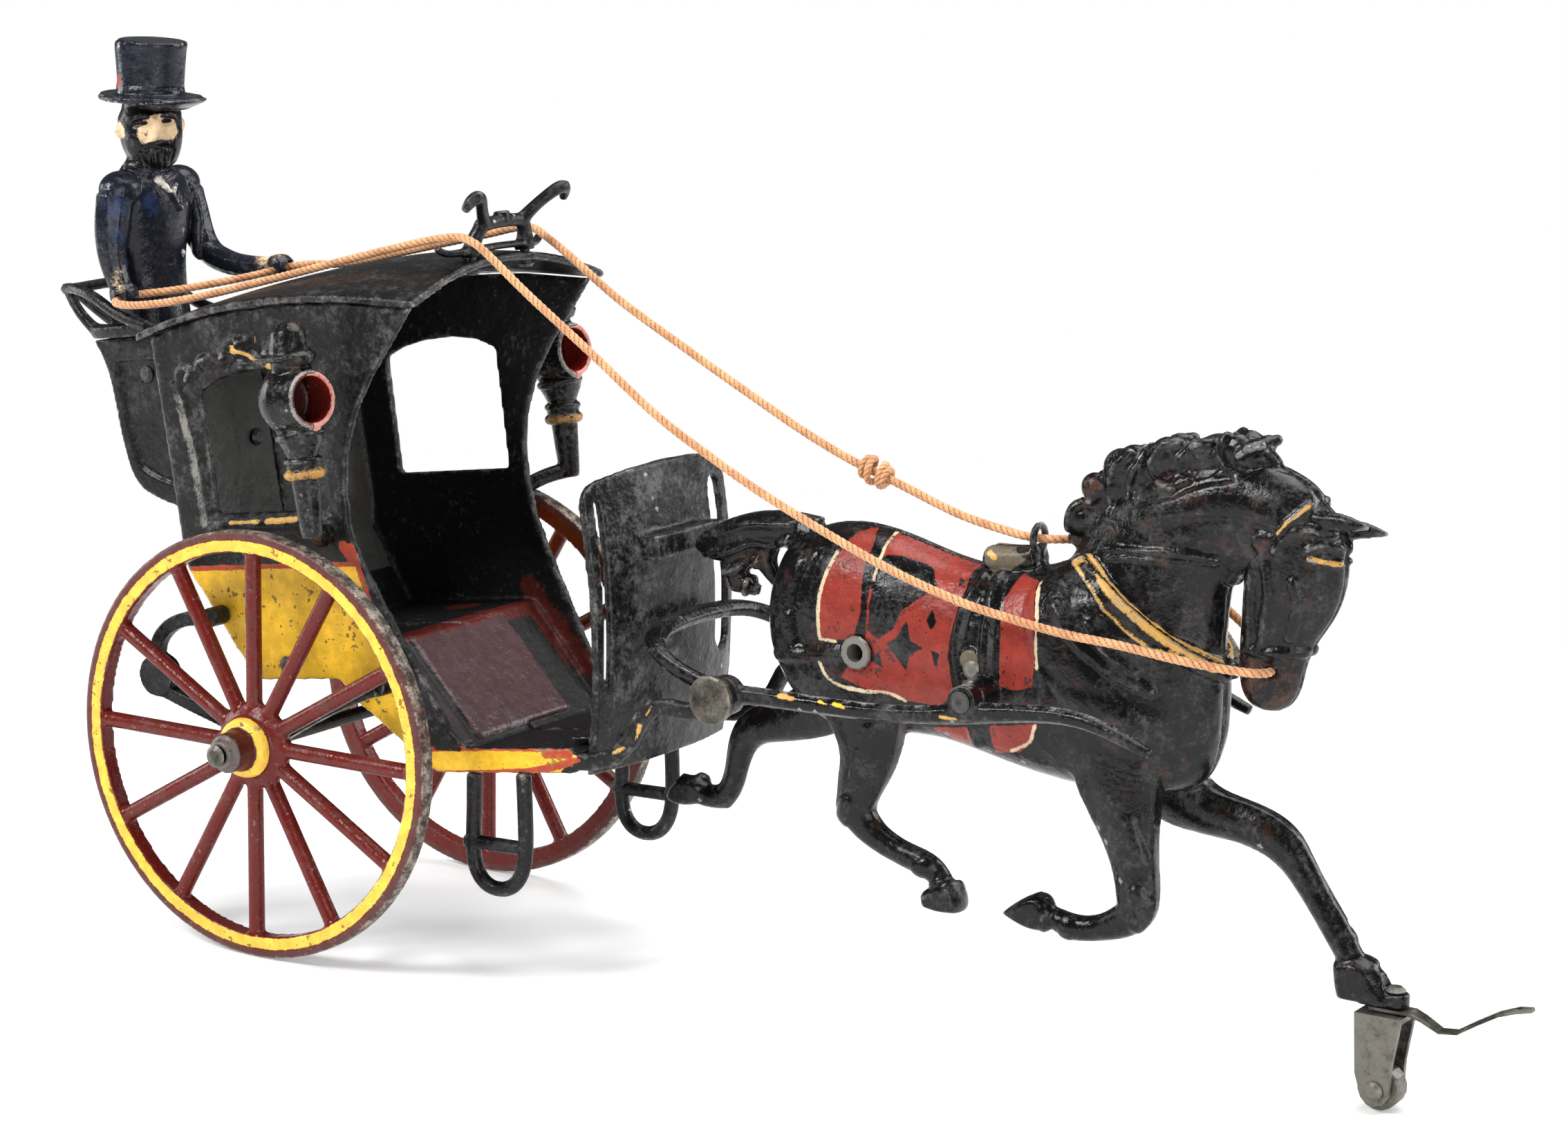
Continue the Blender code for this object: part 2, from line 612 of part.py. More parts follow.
def rein_guide():
    """A bar across the roof's front edge with an arch, two curled horns and a hook at each end."""
    lengthwise = (1.0, 0.0, 0.0)
    foot = roof_top(GUIDE_FORWARD, GUIDE_FOOT) + SEAM_GAP
    half_bar = (((47.4, 0.0, 99.3), (1.9, 0.8)), ((47.4, 7.0, 99.1), (1.9, 0.8)),
                ((47.2, 11.0, 98.9), (1.9, 0.85)),
                ((46.4, 13.5, 98.8), (1.5, 0.85)), ((45.6, 16.0, 98.9), (1.1, 0.8)),
                ((45.2, 17.6, 99.7), (1.0, 0.8)),
                ((45.2, 18.4, 100.5), (0.8, 0.6)))
    bar = [((forward, -across, height), size) for (forward, across, height), size in half_bar[:0:-1]]
    bar += list(half_bar)
    solids = [sweep([place for place, size in bar], [size for place, size in bar], lengthwise, 8, 3.0)]
    bridge = [(49.0, -8.0, 103.9), (49.2, -4.0, 104.3), (49.2, 0.0, 104.4), (49.2, 4.0, 104.3),
              (49.0, 8.0, 103.9)]
    solids.append(sweep(bridge, [(1.6, 1.5)] * len(bridge), lengthwise, 8, 3.0))
    solids.append(post(1.9, 104.0, 106.5, "Z", (49.2, 0.0, 0.0), 8))
    for side in (-1.0, 1.0):
        leg = [(49.2, side * 6.6, 104.6), (48.6, side * 8.4, 102.4), (47.8, side * 9.2, 100.6),
               (GUIDE_FORWARD + 0.4, side * GUIDE_FOOT, 99.0)]
        solids.append(rod(leg, [1.6, 1.7, 1.9, 2.2], lengthwise, 8))
        solids.append(post(2.3, foot, 99.6, "Z", (GUIDE_FORWARD, side * GUIDE_FOOT, 0.0), 8))
        horn = [(49.4, side * 6.4, 104.0), (50.8, side * 8.8, 106.2), (52.8, side * 11.4, 108.4),
                (54.6, side * 13.8, 110.0), (55.0, side * 15.6, 110.2), (54.0, side * 17.0, 109.2),
                (52.8, side * 17.6, 107.4)]
        solids.append(rod(horn, [1.6, 1.45, 1.4, 1.6, 1.7, 1.5, 0.9], lengthwise, 8, 1))
    guide = joined(*solids)
    holes = [post(RIVET_RADIUS + SEAM_GAP, foot - 5.0, foot + GUIDE_BLIND, "Z",
                  (GUIDE_FORWARD, side * GUIDE_FOOT, 0.0), 10) for side in (-1, 1)]
    return cut(guide, *holes)


def bent(mesh):
    """Bend a dash drawn flat on the plane x = 0: lean and bulge it forwards."""
    lean = ((DASH_BOTTOM, 78.0), (5.0, 81.5), (21.0, 83.9), (36.0, 84.8), (DASH_TOP, 84.2))
    for vert in mesh.verts:
        share = vert.co.y / DASH_HALF_WIDTH
        vert.co.x += between(lean, vert.co.z, 1) - DASH_BULGE * share * share - DASH_THICKNESS
    return mesh


def sliced(mesh, places, direction):
    """Give a mesh edges at set places so that it bends evenly."""
    for place in places:
        bmesh.ops.bisect_plane(mesh, geom=mesh.verts[:] + mesh.edges[:] + mesh.faces[:],
                               plane_co=Vector(direction) * place, plane_no=direction)
    return mesh


def dash():
    """The bulged front panel with two slots, the ledge that stops the tail, and its foot on the floor."""
    round_corner = 5.0
    outline = [(-DASH_HALF_WIDTH + 1.4, DASH_BOTTOM), (DASH_HALF_WIDTH - 1.4, DASH_BOTTOM)]
    for side in (1.0, -1.0):
        turns = (0.0, 30.0, 60.0, 90.0) if side > 0 else (90.0, 60.0, 30.0, 0.0)
        for turn in turns:
            across = DASH_HALF_WIDTH - round_corner + round_corner * math.cos(math.radians(turn))
            up = DASH_TOP - round_corner - 1.6 + round_corner * math.sin(math.radians(turn))
            outline.append((side * across, up))
        if side > 0:
            outline += [(12.0, DASH_TOP - 0.5), (0.0, DASH_TOP), (-12.0, DASH_TOP - 0.5)]
    panel = prism(outline, 0.0, DASH_THICKNESS, axis="X")
    slots = []
    for place, width in DASH_SLOTS:
        stadium = []
        radius = width / 2.0
        for middle, first in ((DASH_SLOT_HIGH - radius, 0.0), (DASH_SLOT_LOW + radius, 180.0)):
            for step in range(5):
                turn = math.radians(first + 45.0 * step)
                stadium.append((place + radius * math.cos(turn), middle + radius * math.sin(turn)))
        slots.append(prism(stadium, -1.0, DASH_THICKNESS + 1.0, axis="X"))
    panel = cut(panel, *slots)
    sliced(panel, (-20.5, -16.0, -11.0, -5.5, 0.0, 5.5, 11.0, 16.0, 22.5), (0.0, 1.0, 0.0))
    sliced(panel, (5.0, 21.0, 36.0), (0.0, 0.0, 1.0))
    bmesh.ops.triangulate(panel, faces=panel.faces)
    bent(panel)
    lug = block((81.6, -LUG_HALF_WIDTH, LUG_HEIGHT - LUG_DEPTH / 2.0),
                (LUG_FRONT, LUG_HALF_WIDTH, LUG_HEIGHT + LUG_DEPTH / 2.0))
    foot_low = FLOOR_TOP + SEAM_GAP
    foot = block((DASH_RIVET[0] - 3.0, -18.0, foot_low), (79.2, 18.0, foot_low + DASH_FOOT_THICKNESS))
    holes = [post(RIVET_RADIUS + SEAM_GAP, FLOOR_TOP - 2.0, FLOOR_TOP + 4.0, "Z",
                  (DASH_RIVET[0], side * DASH_RIVET[1], 0.0), 10) for side in (-1, 1)]
    return cut(joined(panel, lug, foot), *holes)


def rivet(low, high, axis, centre, radius=None, sides=10):
    """A rivet whose shank runs from low to high, with a low domed head outside each end."""
    shank = RIVET_RADIUS if radius is None else radius
    head = shank * RIVET_HEAD / RIVET_RADIUS
    tall = RIVET_HEAD_HEIGHT
    profile = ((0.0, low - SEAM_GAP - tall), (head * 0.6, low - SEAM_GAP - tall * 0.85),
               (head, low - SEAM_GAP),
               (shank, low - SEAM_GAP), (shank, high + SEAM_GAP), (head, high + SEAM_GAP),
               (head * 0.6, high + SEAM_GAP + tall * 0.85), (0.0, high + SEAM_GAP + tall))
    return turned(profile, axis, sides, centre)


def stud(low, high, axis, centre, radius, sides=10):
    """A rivet with one domed head below low and a plain shank that ends at high."""
    head = radius * RIVET_HEAD / RIVET_RADIUS
    profile = ((0.0, low - SEAM_GAP - RIVET_HEAD_HEIGHT),
               (head * 0.6, low - SEAM_GAP - RIVET_HEAD_HEIGHT * 0.85),
               (head, low - SEAM_GAP), (radius, low - SEAM_GAP), (radius, high), (0.0, high))
    return turned(profile, axis, sides, centre)


def tie_rod():
    """The rod across the body that draws its two halves together."""
    half = half_width(TIE_PLACE[1])
    return rivet(-half, half, "Y", (TIE_PLACE[0], 0.0, TIE_PLACE[1]), TIE_RADIUS)


def driver_pin():
    """The pin through the driver's box and the driver."""
    half = PERCH_HALF_WIDTH - PERCH_RECESS
    return rivet(-half, half, "Y", (DRIVER_PIN[0], 0.0, DRIVER_PIN[1]))


def guide_rivet(side):
    """The stud from under the roof into the rein guide's foot."""
    foot_top = roof_top(GUIDE_FORWARD, GUIDE_FOOT)
    return stud(foot_top - ROOF_THICKNESS - 0.6, foot_top + 1.8, "Z", (GUIDE_FORWARD, side * GUIDE_FOOT, 0.0),
                RIVET_RADIUS)


def dash_rivet(side):
    """The rivet through the dash's foot and the floor."""
    return rivet(FLOOR_TOP - FLOOR_THICKNESS, FLOOR_TOP + SEAM_GAP + DASH_FOOT_THICKNESS, "Z",
                 (DASH_RIVET[0], side * DASH_RIVET[1], 0.0))


def perch_rivet(side):
    """The rivet through the driver's box and the back wall."""
    face = back_face(PERCH_RIVET[0])
    return rivet(face - SEAM_GAP - PERCH_WALL - 0.3, face + WALL + 0.3, "X",
                 (0.0, side * PERCH_RIVET[1], PERCH_RIVET[0]))


def step_loop(side):
    """A hanging loop step with its cross tread."""
    top = FLOOR_BOTTOM - SEAM_GAP
    place = -FLOOR_HALF_WIDTH + 0.6
    loop_path = [(46.4, place, top), (45.4, place, -16.0), (44.0, place, -24.0), (43.8, place, -29.0),
                 (46.0, place, -32.6), (49.9, place, -33.8), (53.8, place, -32.8), (56.6, place, -29.2),
                 (57.8, place, -24.0), (58.6, place, -16.0), (59.2, place, top)]
    loop = rod(loop_path, STEP_RADIUS, sides=6, steps=1)
    bmesh.ops.bisect_plane(loop, geom=loop.verts[:] + loop.edges[:] + loop.faces[:],
                           plane_co=(0, 0, top - 0.5), plane_no=(0, 0, 1))
    tread = rod([(42.4, place, -23.0), (50.0, place, -23.9), (56.8, place, -24.6)], 1.2, sides=6)
    return on_side(joined(loop, tread), side)


def lamp(side):
    """A carriage lamp: open round head, chimney, collars and stem, with a bracket to the side wall."""
    centre = (LAMP_FORWARD, -LAMP_PLACE, LAMP_HEIGHT)
    inside = LAMP_RADIUS - LAMP_WALL
    head = turned(((0.0, -6.6), (3.8, -6.4), (6.2, -5.2), (LAMP_RADIUS, -3.0), (LAMP_RADIUS, 5.0),
                   (LAMP_RADIUS - 0.4, 5.8), (inside, 5.6), (inside - 0.1, -3.4), (0.0, -3.8)), "X", 14,
                   centre)
    chimney = turned(((4.4, 6.2), (4.4, 8.2), (3.4, 9.6), (3.9, 11.2), (3.2, 13.4), (1.8, 15.6), (0.0, 16.2)),
                     "Z", 10, centre)
    stem = turned(((0.0, -28.8), (2.2, -28.6), (2.5, -27.0), (3.1, -17.6), (3.2, -16.2), (3.9, -15.6),
                   (3.9, -12.6), (3.3, -12.0),
                   (4.2, -9.8), (5.2, -8.2), (5.0, -6.6), (3.0, -6.3)), "Z", 10, centre)
    reach = half_width(LAMP_HEIGHT - 28.0) + SEAM_GAP
    bracket = rod([(LAMP_FORWARD, -LAMP_PLACE, LAMP_HEIGHT - 27.0),
                   (LAMP_FORWARD - 3.6, -LAMP_PLACE + 5.0, LAMP_HEIGHT - 27.6),
                   (LAMP_FORWARD - 7.0, -reach - 2.4, LAMP_HEIGHT - 30.0),
                   (LAMP_FORWARD - 7.6, -reach, LAMP_HEIGHT - 30.6)],
                  [2.0, 1.8, 1.9, 2.2], (0.0, 0.0, 1.0), 6)
    bmesh.ops.bisect_plane(bracket, geom=bracket.verts[:] + bracket.edges[:] + bracket.faces[:],
                           plane_co=(0, -reach, 0), plane_no=(0, 1, 0))
    for vert in bracket.verts:
        vert.co.y = min(vert.co.y, -reach)
    whole = on_side(joined(head, chimney, stem, bracket), side)
    turn = LAMP_TURN_NEAR if side < 0 else LAMP_TURN_FAR
    pillar = Vector((LAMP_FORWARD, side * LAMP_PLACE, 0.0))
    swing = Matrix.Rotation(math.radians(-turn), 3, "Z")
    for vert in whole.verts:
        if vert.co.z > LAMP_HEIGHT - 26.0:
            vert.co = pillar + swing @ (vert.co - pillar)
    return whole


def spring(side):
    """A scrolled leaf spring with an eye for the axle, a disc at its tail and two bosses to the body."""
    place = -SPRING_PLACE
    half = SPRING_WIDTH / 2.0
    leaf_run = ((-28.0, 11.2), (-22.0, 8.6), (-14.0, 5.6), (-6.0, 2.6), (0.0, 0.6), (6.0, 2.8), (14.0, 5.8),
                (22.0, 8.6), (31.0, 11.0))
    depth = (1.5, 1.6, 1.8, 2.2, 2.8, 2.2, 1.8, 1.6, 1.5)
    leaf = sweep([(forward, place, up) for forward, up in leaf_run], [(half, size) for size in depth],
                 (0.0, 1.0, 0.0), 4, 8.0)
    disc = post(SPRING_DISC_RADIUS, place - half - 0.4, place + half + 0.4, "Y", (-28.6, 0.0, 14.4), 16)
    neck_run = ((-29.0, 17.0), (-28.2, 21.6), (-24.6, 25.2), (-19.0, 26.8), (-13.2, 26.6))
    neck = sweep([(forward, place, up) for forward, up in neck_run], [(half, 1.7)] * len(neck_run),
                 (0.0, 1.0, 0.0), 4, 8.0)
    eye = post(SPRING_EYE_RADIUS, place - half - 0.5, place + half + 0.5, "Y", (0.0, 0.0, 0.0), 16)
    rear_boss = post(2.2, place, -half_width(26.6) - SEAM_GAP, "Y", (-13.0, 0.0, 26.6), 12)
    front_boss = post(2.2, place, -half_width(11.2) - SEAM_GAP, "Y", (30.2, 0.0, 11.2), 12)
    whole = joined(leaf, disc, neck, eye, rear_boss, front_boss)
    return on_side(cut(whole, post(AXLE_RADIUS + SEAM_GAP, -60.0, 0.0, "Y", (0.0, 0.0, 0.0), 16)), side)


def hub_end():
    """Distance of the hub cap's outer face from the middle."""
    return HALF_TRACK + WHEEL_WIDTH / 2.0 + HUB_NOSE_LENGTH + HUB_CAP_LENGTH


def axle():
    """The steel rod across the cab, peened over at both ends."""
    end = hub_end() + RUNNING_GAP
    tip = end + AXLE_HEAD_LENGTH
    profile = ((0.0, -tip), (AXLE_HEAD_RADIUS * 0.6, -tip + 0.15), (AXLE_HEAD_RADIUS, -end),
               (AXLE_HEAD_RADIUS, -end + 0.02),
               (AXLE_RADIUS, -end + 0.03), (AXLE_RADIUS, end - 0.03), (AXLE_HEAD_RADIUS, end - 0.02),
               (AXLE_HEAD_RADIUS, end), (AXLE_HEAD_RADIUS * 0.6, tip - 0.15), (0.0, tip))
    return turned(profile, "Y", 16)


def wheel(side):
    """A cast spoked wheel about its own centre; its rim is a polygon that stands on one flat."""
    half = WHEEL_WIDTH / 2.0
    corner = WHEEL_RADIUS / math.cos(math.pi / WHEEL_SIDES)
    inner = WHEEL_RADIUS - RIM_DEPTH
    rim = turned(((inner, -half), (corner - 0.5, -half), (corner, -half + 0.5),
                  (corner, half - 0.5), (corner - 0.5, half), (inner, half)), "Y", WHEEL_SIDES, loop=True)
    bore = AXLE_RADIUS + RUNNING_GAP
    nose = -half - HUB_NOSE_LENGTH
    cap = nose - HUB_CAP_LENGTH
    hub = turned(((bore, half + HUB_BACK), (5.2, half + HUB_BACK), (HUB_RADIUS, half - 0.6),
                  (HUB_RADIUS, -half + 1.2),
                  (HUB_NOSE_RADIUS + 0.6, -half - 0.6), (HUB_NOSE_RADIUS, nose), (HUB_CAP_RADIUS, nose - 0.3),
                  (HUB_CAP_RADIUS, cap), (bore, cap)), "Y", 12, loop=True)
    arms = []
    for index in range(SPOKES):
        arm = sweep([(0.0, 0.0, HUB_RADIUS - 2.0), (0.0, 0.0, inner + 1.2)],
                    [(1.3, SPOKE_WIDTH / 2.0 - 0.3), (1.5, SPOKE_WIDTH / 2.0 + 0.3)], (0.0, 1.0, 0.0), 6)
        arms.append(turn_about(arm, 360.0 * index / SPOKES, "Y", (0, 0, 0)))
    return on_side(joined(hub, *arms, rim), side)


def perch():
    """The driver's box behind the cab: two sides, a sloping back and a foot board, open at the top."""
    front_low = back_face(44.0) - SEAM_GAP
    front_high = back_face(PERCH_RIM) - SEAM_GAP
    outline = [(-60.2, PERCH_RIM), (-57.6, 81.6), (-56.4, 76.0), (-55.8, 68.0), (-54.8, 60.0), (-53.4, 55.0),
               (-51.4, 52.2), (-48.0, 50.2), (-40.0, 47.0), (front_low, 44.0), (front_high, PERCH_RIM)]
    inside = [(-58.2, PERCH_RIM + 1.0), (-55.4, 81.6), (-54.2, 76.0), (-53.6, 68.0), (-52.6, 60.4),
              (-51.4, 56.2),
              (-49.8, 54.0), (-47.0, 52.4), (-40.0, 49.2), (front_low - PERCH_WALL, 46.4),
              (front_high - PERCH_WALL, PERCH_RIM + 1.0)]
    half = PERCH_HALF_WIDTH
    outer = prism(outline, -half, half)
    hollow = prism(inside, -half + PERCH_WALL, half - PERCH_WALL)
    shape = cut(outer, hollow)
    cuts = [post(RIVET_RADIUS + SEAM_GAP, -half - 2.0, half + 2.0, "Y", (DRIVER_PIN[0], 0.0, DRIVER_PIN[1]),
                 10)]
    for side in (-1, 1):
        recess = [(-54.6, 81.0), (-53.6, 68.0), (-52.2, 58.6), (-49.6, 54.6), (-27.0, 48.4), (-27.6, 81.0)]
        cuts.append(prism(recess, side * half - PERCH_RECESS, side * half + PERCH_RECESS))
        cuts.append(post(RIVET_RADIUS + SEAM_GAP, front_high - 8.0, front_high + 8.0, "X",
                         (0.0, side * PERCH_RIVET[1], PERCH_RIVET[0]), 10))
    return cut(shape, *cuts)


def seat_rail():
    """The flared rail round the driver, with a lower ring that sits on the box."""
    rail_run = ((-41.0, 13.6, 88.6), (-49.0, 13.8, 91.0), (-55.6, 12.8, 95.8), (-63.0, 11.0, 98.0),
                (-70.0, 6.6, 98.0),
                (-74.4, 2.0, 97.5))
    near = [(forward, -across, up) for forward, across, up in rail_run]
    far = [(forward, across, up) for forward, across, up in reversed(rail_run)]
    solids = [rod(near + far, RAIL_RADIUS, (0.0, 0.0, 1.0), 6, 1)]
    low = PERCH_RIM + SEAM_GAP
    ring_outline = [(-62.2, -8.2), (-59.4, -11.8), (-40.0, -12.8), (-38.0, -11.0), (-40.0, -9.8),
                    (-57.8, -9.4),
                    (-59.4, -7.0), (-59.4, 7.0), (-57.8, 9.4), (-40.0, 9.8), (-38.0, 11.0), (-40.0, 12.8),
                    (-59.4, 11.8), (-62.2, 8.2)]
    solids.append(prism(ring_outline, low, low + 2.6, axis="Z"))
    for side in (-1.0, 1.0):
        solids.append(rod([(-60.6, side * 8.0, low + 1.2), (-65.4, side * 8.6, 92.6),
                           (-68.6, side * 7.4, 97.6)],
                          [1.6, 1.3, 1.3], (0.0, 1.0, 0.0), 6))
        solids.append(rod([(-41.4, side * 11.8, low + 1.2), (-41.8, side * 13.4, 88.8)], 1.3, (0.0, 1.0, 0.0),
                          6))
    solids.append(rod([(-60.4, 0.0, low + 1.2), (-67.0, 0.0, 92.0), (-73.6, 0.0, 97.2)], [1.5, 1.4, 1.4],
                      (0.0, 1.0, 0.0), 6))
    return joined(*solids)


def driver():
    """The seated coachman: legs in the box, coat, two arms that hold the reins, head and tall hat."""
    upright = (0.0, 1.0, 0.0)
    torso_rows = ((-45.6, 0.0, 74.0, 5.2, 6.2), (-47.0, 0.0, 82.0, 6.0, 7.4), (-50.4, 0.0, 88.6, 7.8, 9.4),
                  (-50.6, 0.0, 95.0, 7.6, 9.4), (-49.8, 0.0, 103.0, 7.2, 9.4), (-48.8, 0.0, 111.0, 7.8, 10.8),
                  (-47.8, 0.0, 117.6, 7.6, 12.0), (-47.2, 0.0, 121.4, 6.0, 9.6),
                  (-46.6, 0.0, 123.8, 4.4, 5.4),
                  (-46.0, 0.0, 126.0, 3.8, 4.2))
    head_rows = ((-45.4, 0.0, 122.6, 2.8, 2.8), (-44.8, 0.0, 124.6, 5.0, 4.4), (-45.1, 0.0, 127.6, 6.6, 5.8),
                 (-45.1, 0.0, 131.4, 7.3, 6.4), (-44.7, 0.0, 135.4, 7.1, 6.4), (-44.0, 0.0, 138.6, 6.4, 5.8))
    brim_rows = ((-44.1, 0.0, 137.5, 9.0, 9.0), (-44.0, 0.0, 137.8, 12.6, 12.6),
                 (-43.9, 0.0, 138.8, 12.8, 12.8),
                 (-43.8, 0.0, 139.4, 9.0, 9.0))
    crown_rows = ((-43.8, 0.0, 138.6, 7.8, 7.8), (-43.3, 0.0, 141.6, 7.6, 7.6), (-42.7, 0.0, 146.0, 7.8, 7.8),
                  (-42.1, 0.0, 150.2, 8.2, 8.2), (-42.0, 0.0, 150.9, 7.8, 7.8))
    solids = [limb(torso_rows, 1, 12), limb(head_rows, 1, 10)]
    for rows in (brim_rows, crown_rows):
        solids.append(sweep([row[:3] for row in rows], [(row[4], row[3]) for row in rows], upright, 14))
    near_arm = [(-46.8, -9.0, 120.2), (-47.4, -12.4, 116.6), (-48.6, -13.4, 109.0), (-48.8, -13.6, 102.6),
                (-47.4, -13.4, 97.6)]
    far_arm = [(-46.8, 9.0, 120.2), (-47.0, 12.0, 116.0), (-46.4, 12.8, 108.0), (-43.6, 13.0, 102.4),
               (-36.6, 12.8, 99.2), (-28.4, 12.4, 98.4), (-23.6, 12.2, 98.2)]
    solids.append(rod(near_arm, [3.2, 4.4, 3.9, 3.2, 2.6], upright, 8, 1))
    solids.append(rod(far_arm, [3.2, 4.4, 3.9, 3.3, 2.8, 2.5, 2.3], upright, 8, 1))
    for centre in ((-46.8, -13.2, 95.9), (-22.6, 12.0, 98.2)):
        solids.append(turned(((0.0, -3.3), (2.5, -2.4), (3.3, 0.0), (2.5, 2.4), (0.0, 3.3)), "Y", 8, centre))
    figure = joined(*solids)
    pin = post(RIVET_RADIUS + SEAM_GAP, -20.0, 20.0, "Y", (DRIVER_PIN[0], 0.0, DRIVER_PIN[1]), 10)
    return cut(figure, pin, cord_clearance())


def on_wheels(point):
    """A point of the rein's route, lifted to suit the wheels' radius."""
    return Vector(point) + Vector((0.0, 0.0, WHEEL_RADIUS - ROUTE_AXLE))


def cord_line(step_length):
    """Points on the smooth curve through the rein's route, at its own points and in steps between them."""
    rows = [on_wheels(point) for point in REIN_ROUTE]
    points = []
    for index in range(len(rows) - 1):
        steps = max(1, round((rows[index + 1] - rows[index]).length / step_length))
        points += [on_curve(rows, index, step / steps) for step in range(steps)]
    return points + [rows[-1]]


def in_cab(point):
    """A point of the standing toy in the cab's own frame."""
    turn = math.radians(CAB_PITCH)
    rise = point[2] - WHEEL_RADIUS
    return Vector((point[0] * math.cos(turn) + rise * math.sin(turn), point[1],
                   rise * math.cos(turn) - point[0] * math.sin(turn)))


def cord_clearance():
    """A tunnel for the string through both hands, in the cab's frame."""
    points = [in_cab(point) for point in cord_line(CORD_STEP)]
    held = [point for point in points if point.x < 0.0]
    radius = CORD_DIAMETER / 2.0 + SEAM_GAP + 0.25
    return sweep(held, [(radius * 1.08, radius * 1.08)] * len(held), (0.0, 0.0, 1.0), 8)


def reins(string, carrier):
    """The string as a curve with a round bevel and capped ends."""
    data = bpy.data.curves.new("reins", "CURVE")
    data.dimensions = "3D"
    data.bevel_depth = CORD_DIAMETER / 2.0 * MM
    data.bevel_resolution = 2
    data.use_fill_caps = True
    points = cord_line(CORD_STEP)
    line = data.splines.new("POLY")
    line.points.add(len(points) - 1)
    for spot, point in zip(line.points, points):
        spot.co = (*(point * MM), 1.0)
    data.materials.append(string)
    piece = bpy.data.objects.new("reins", data)
    bpy.context.scene.collection.objects.link(piece)
    piece.parent = carrier


def rein_knot():
    """The knot where the string's ends are tied, as a lumpy sleeve that clears the string."""
    middle = on_wheels(KNOT_PLACE)
    points = sorted(cord_line(1.0), key=lambda point: (point - middle).length)[:10]
    points.sort(key=lambda point: point.x)
    inner = CORD_DIAMETER / 2.0 + SEAM_GAP
    lumps = (0.2, 1.0, 1.3, 0.8, 0.9, 1.3, 1.1, 0.3)
    rings = []
    for index, lump in enumerate(lumps):
        spot = points[int(index * (len(points) - 1) / (len(lumps) - 1))]
        rings.append((spot, inner + 0.5 + lump * 0.8))
    direction = (points[-1] - points[0]).normalized()
    side = Vector((0.0, 1.0, 0.0))
    up = direction.cross(side)
    outer_rings = [oval(spot, side, up, size, size, 12) for spot, size in rings]
    inner_rings = [oval(spot, side, up, inner * 1.08, inner * 1.08, 12) for spot, size in reversed(rings)]
    return loft_loop(outer_rings + inner_rings)


def world_pivot():
    """The shaft pivot on the standing toy."""
    turn = math.radians(CAB_PITCH)
    return (PIVOT[0] * math.cos(turn) - PIVOT[1] * math.sin(turn), 0.0,
            WHEEL_RADIUS + PIVOT[0] * math.sin(turn) + PIVOT[1] * math.cos(turn))


def measured(mesh):
    """Move a mesh written in the standing toy's measure to the pivot's frame."""
    bmesh.ops.translate(mesh, verts=mesh.verts, vec=(-DATUM[0], 0.0, -DATUM[1]))
    return mesh


def trunk():
    """The horse's barrel from rump to chest: (x, top, bottom, half width)."""
    rows = ((105.4, 84.0, 77.0, 3.0), (107.0, 92.0, 70.0, 7.4), (110.5, 97.6, 64.0, 10.0),
            (117.0, 101.2, 59.4, 12.0),
            (125.0, 102.4, 58.0, 12.8), (134.0, 101.2, 59.4, 12.6), (144.0, 98.0, 60.2, 12.4),
            (154.0, 96.4, 58.4, 12.8),
            (164.0, 97.4, 56.2, 13.2), (173.0, 99.8, 55.0, 13.2), (183.0, 102.6, 54.6, 12.8),
            (192.0, 103.0, 55.2, 11.8),
            (199.0, 98.0, 56.6, 9.6), (203.6, 90.0, 60.0, 6.6), (205.8, 84.0, 67.0, 3.0))
    rings = []
    for forward, top, bottom, half in smooth_wide([tuple(row) for row in rows], 1):
        centre = Vector((forward, 0.0, (top + bottom) / 2.0))
        rings.append(oval(centre, Vector((0, 1, 0)), Vector((0, 0, 1)), half, (top - bottom) / 2.0, 14, 2.3))
    return loft(rings)


def hoof(outline, across, half):
    """A hoof whose (x, z) outline draws in at both sides."""
    middle = Vector((sum(x for x, z in outline), 0.0, sum(z for x, z in outline))) / len(outline)
    rings = []
    for out, size in ((-1.0, 0.74), (-0.55, 1.0), (0.55, 1.0), (1.0, 0.74)):
        level = Vector((0.0, across + out * half, 0.0))
        rings.append([level + middle + (Vector((x, 0.0, z)) - middle) * size for x, z in outline])
    return loft(rings)


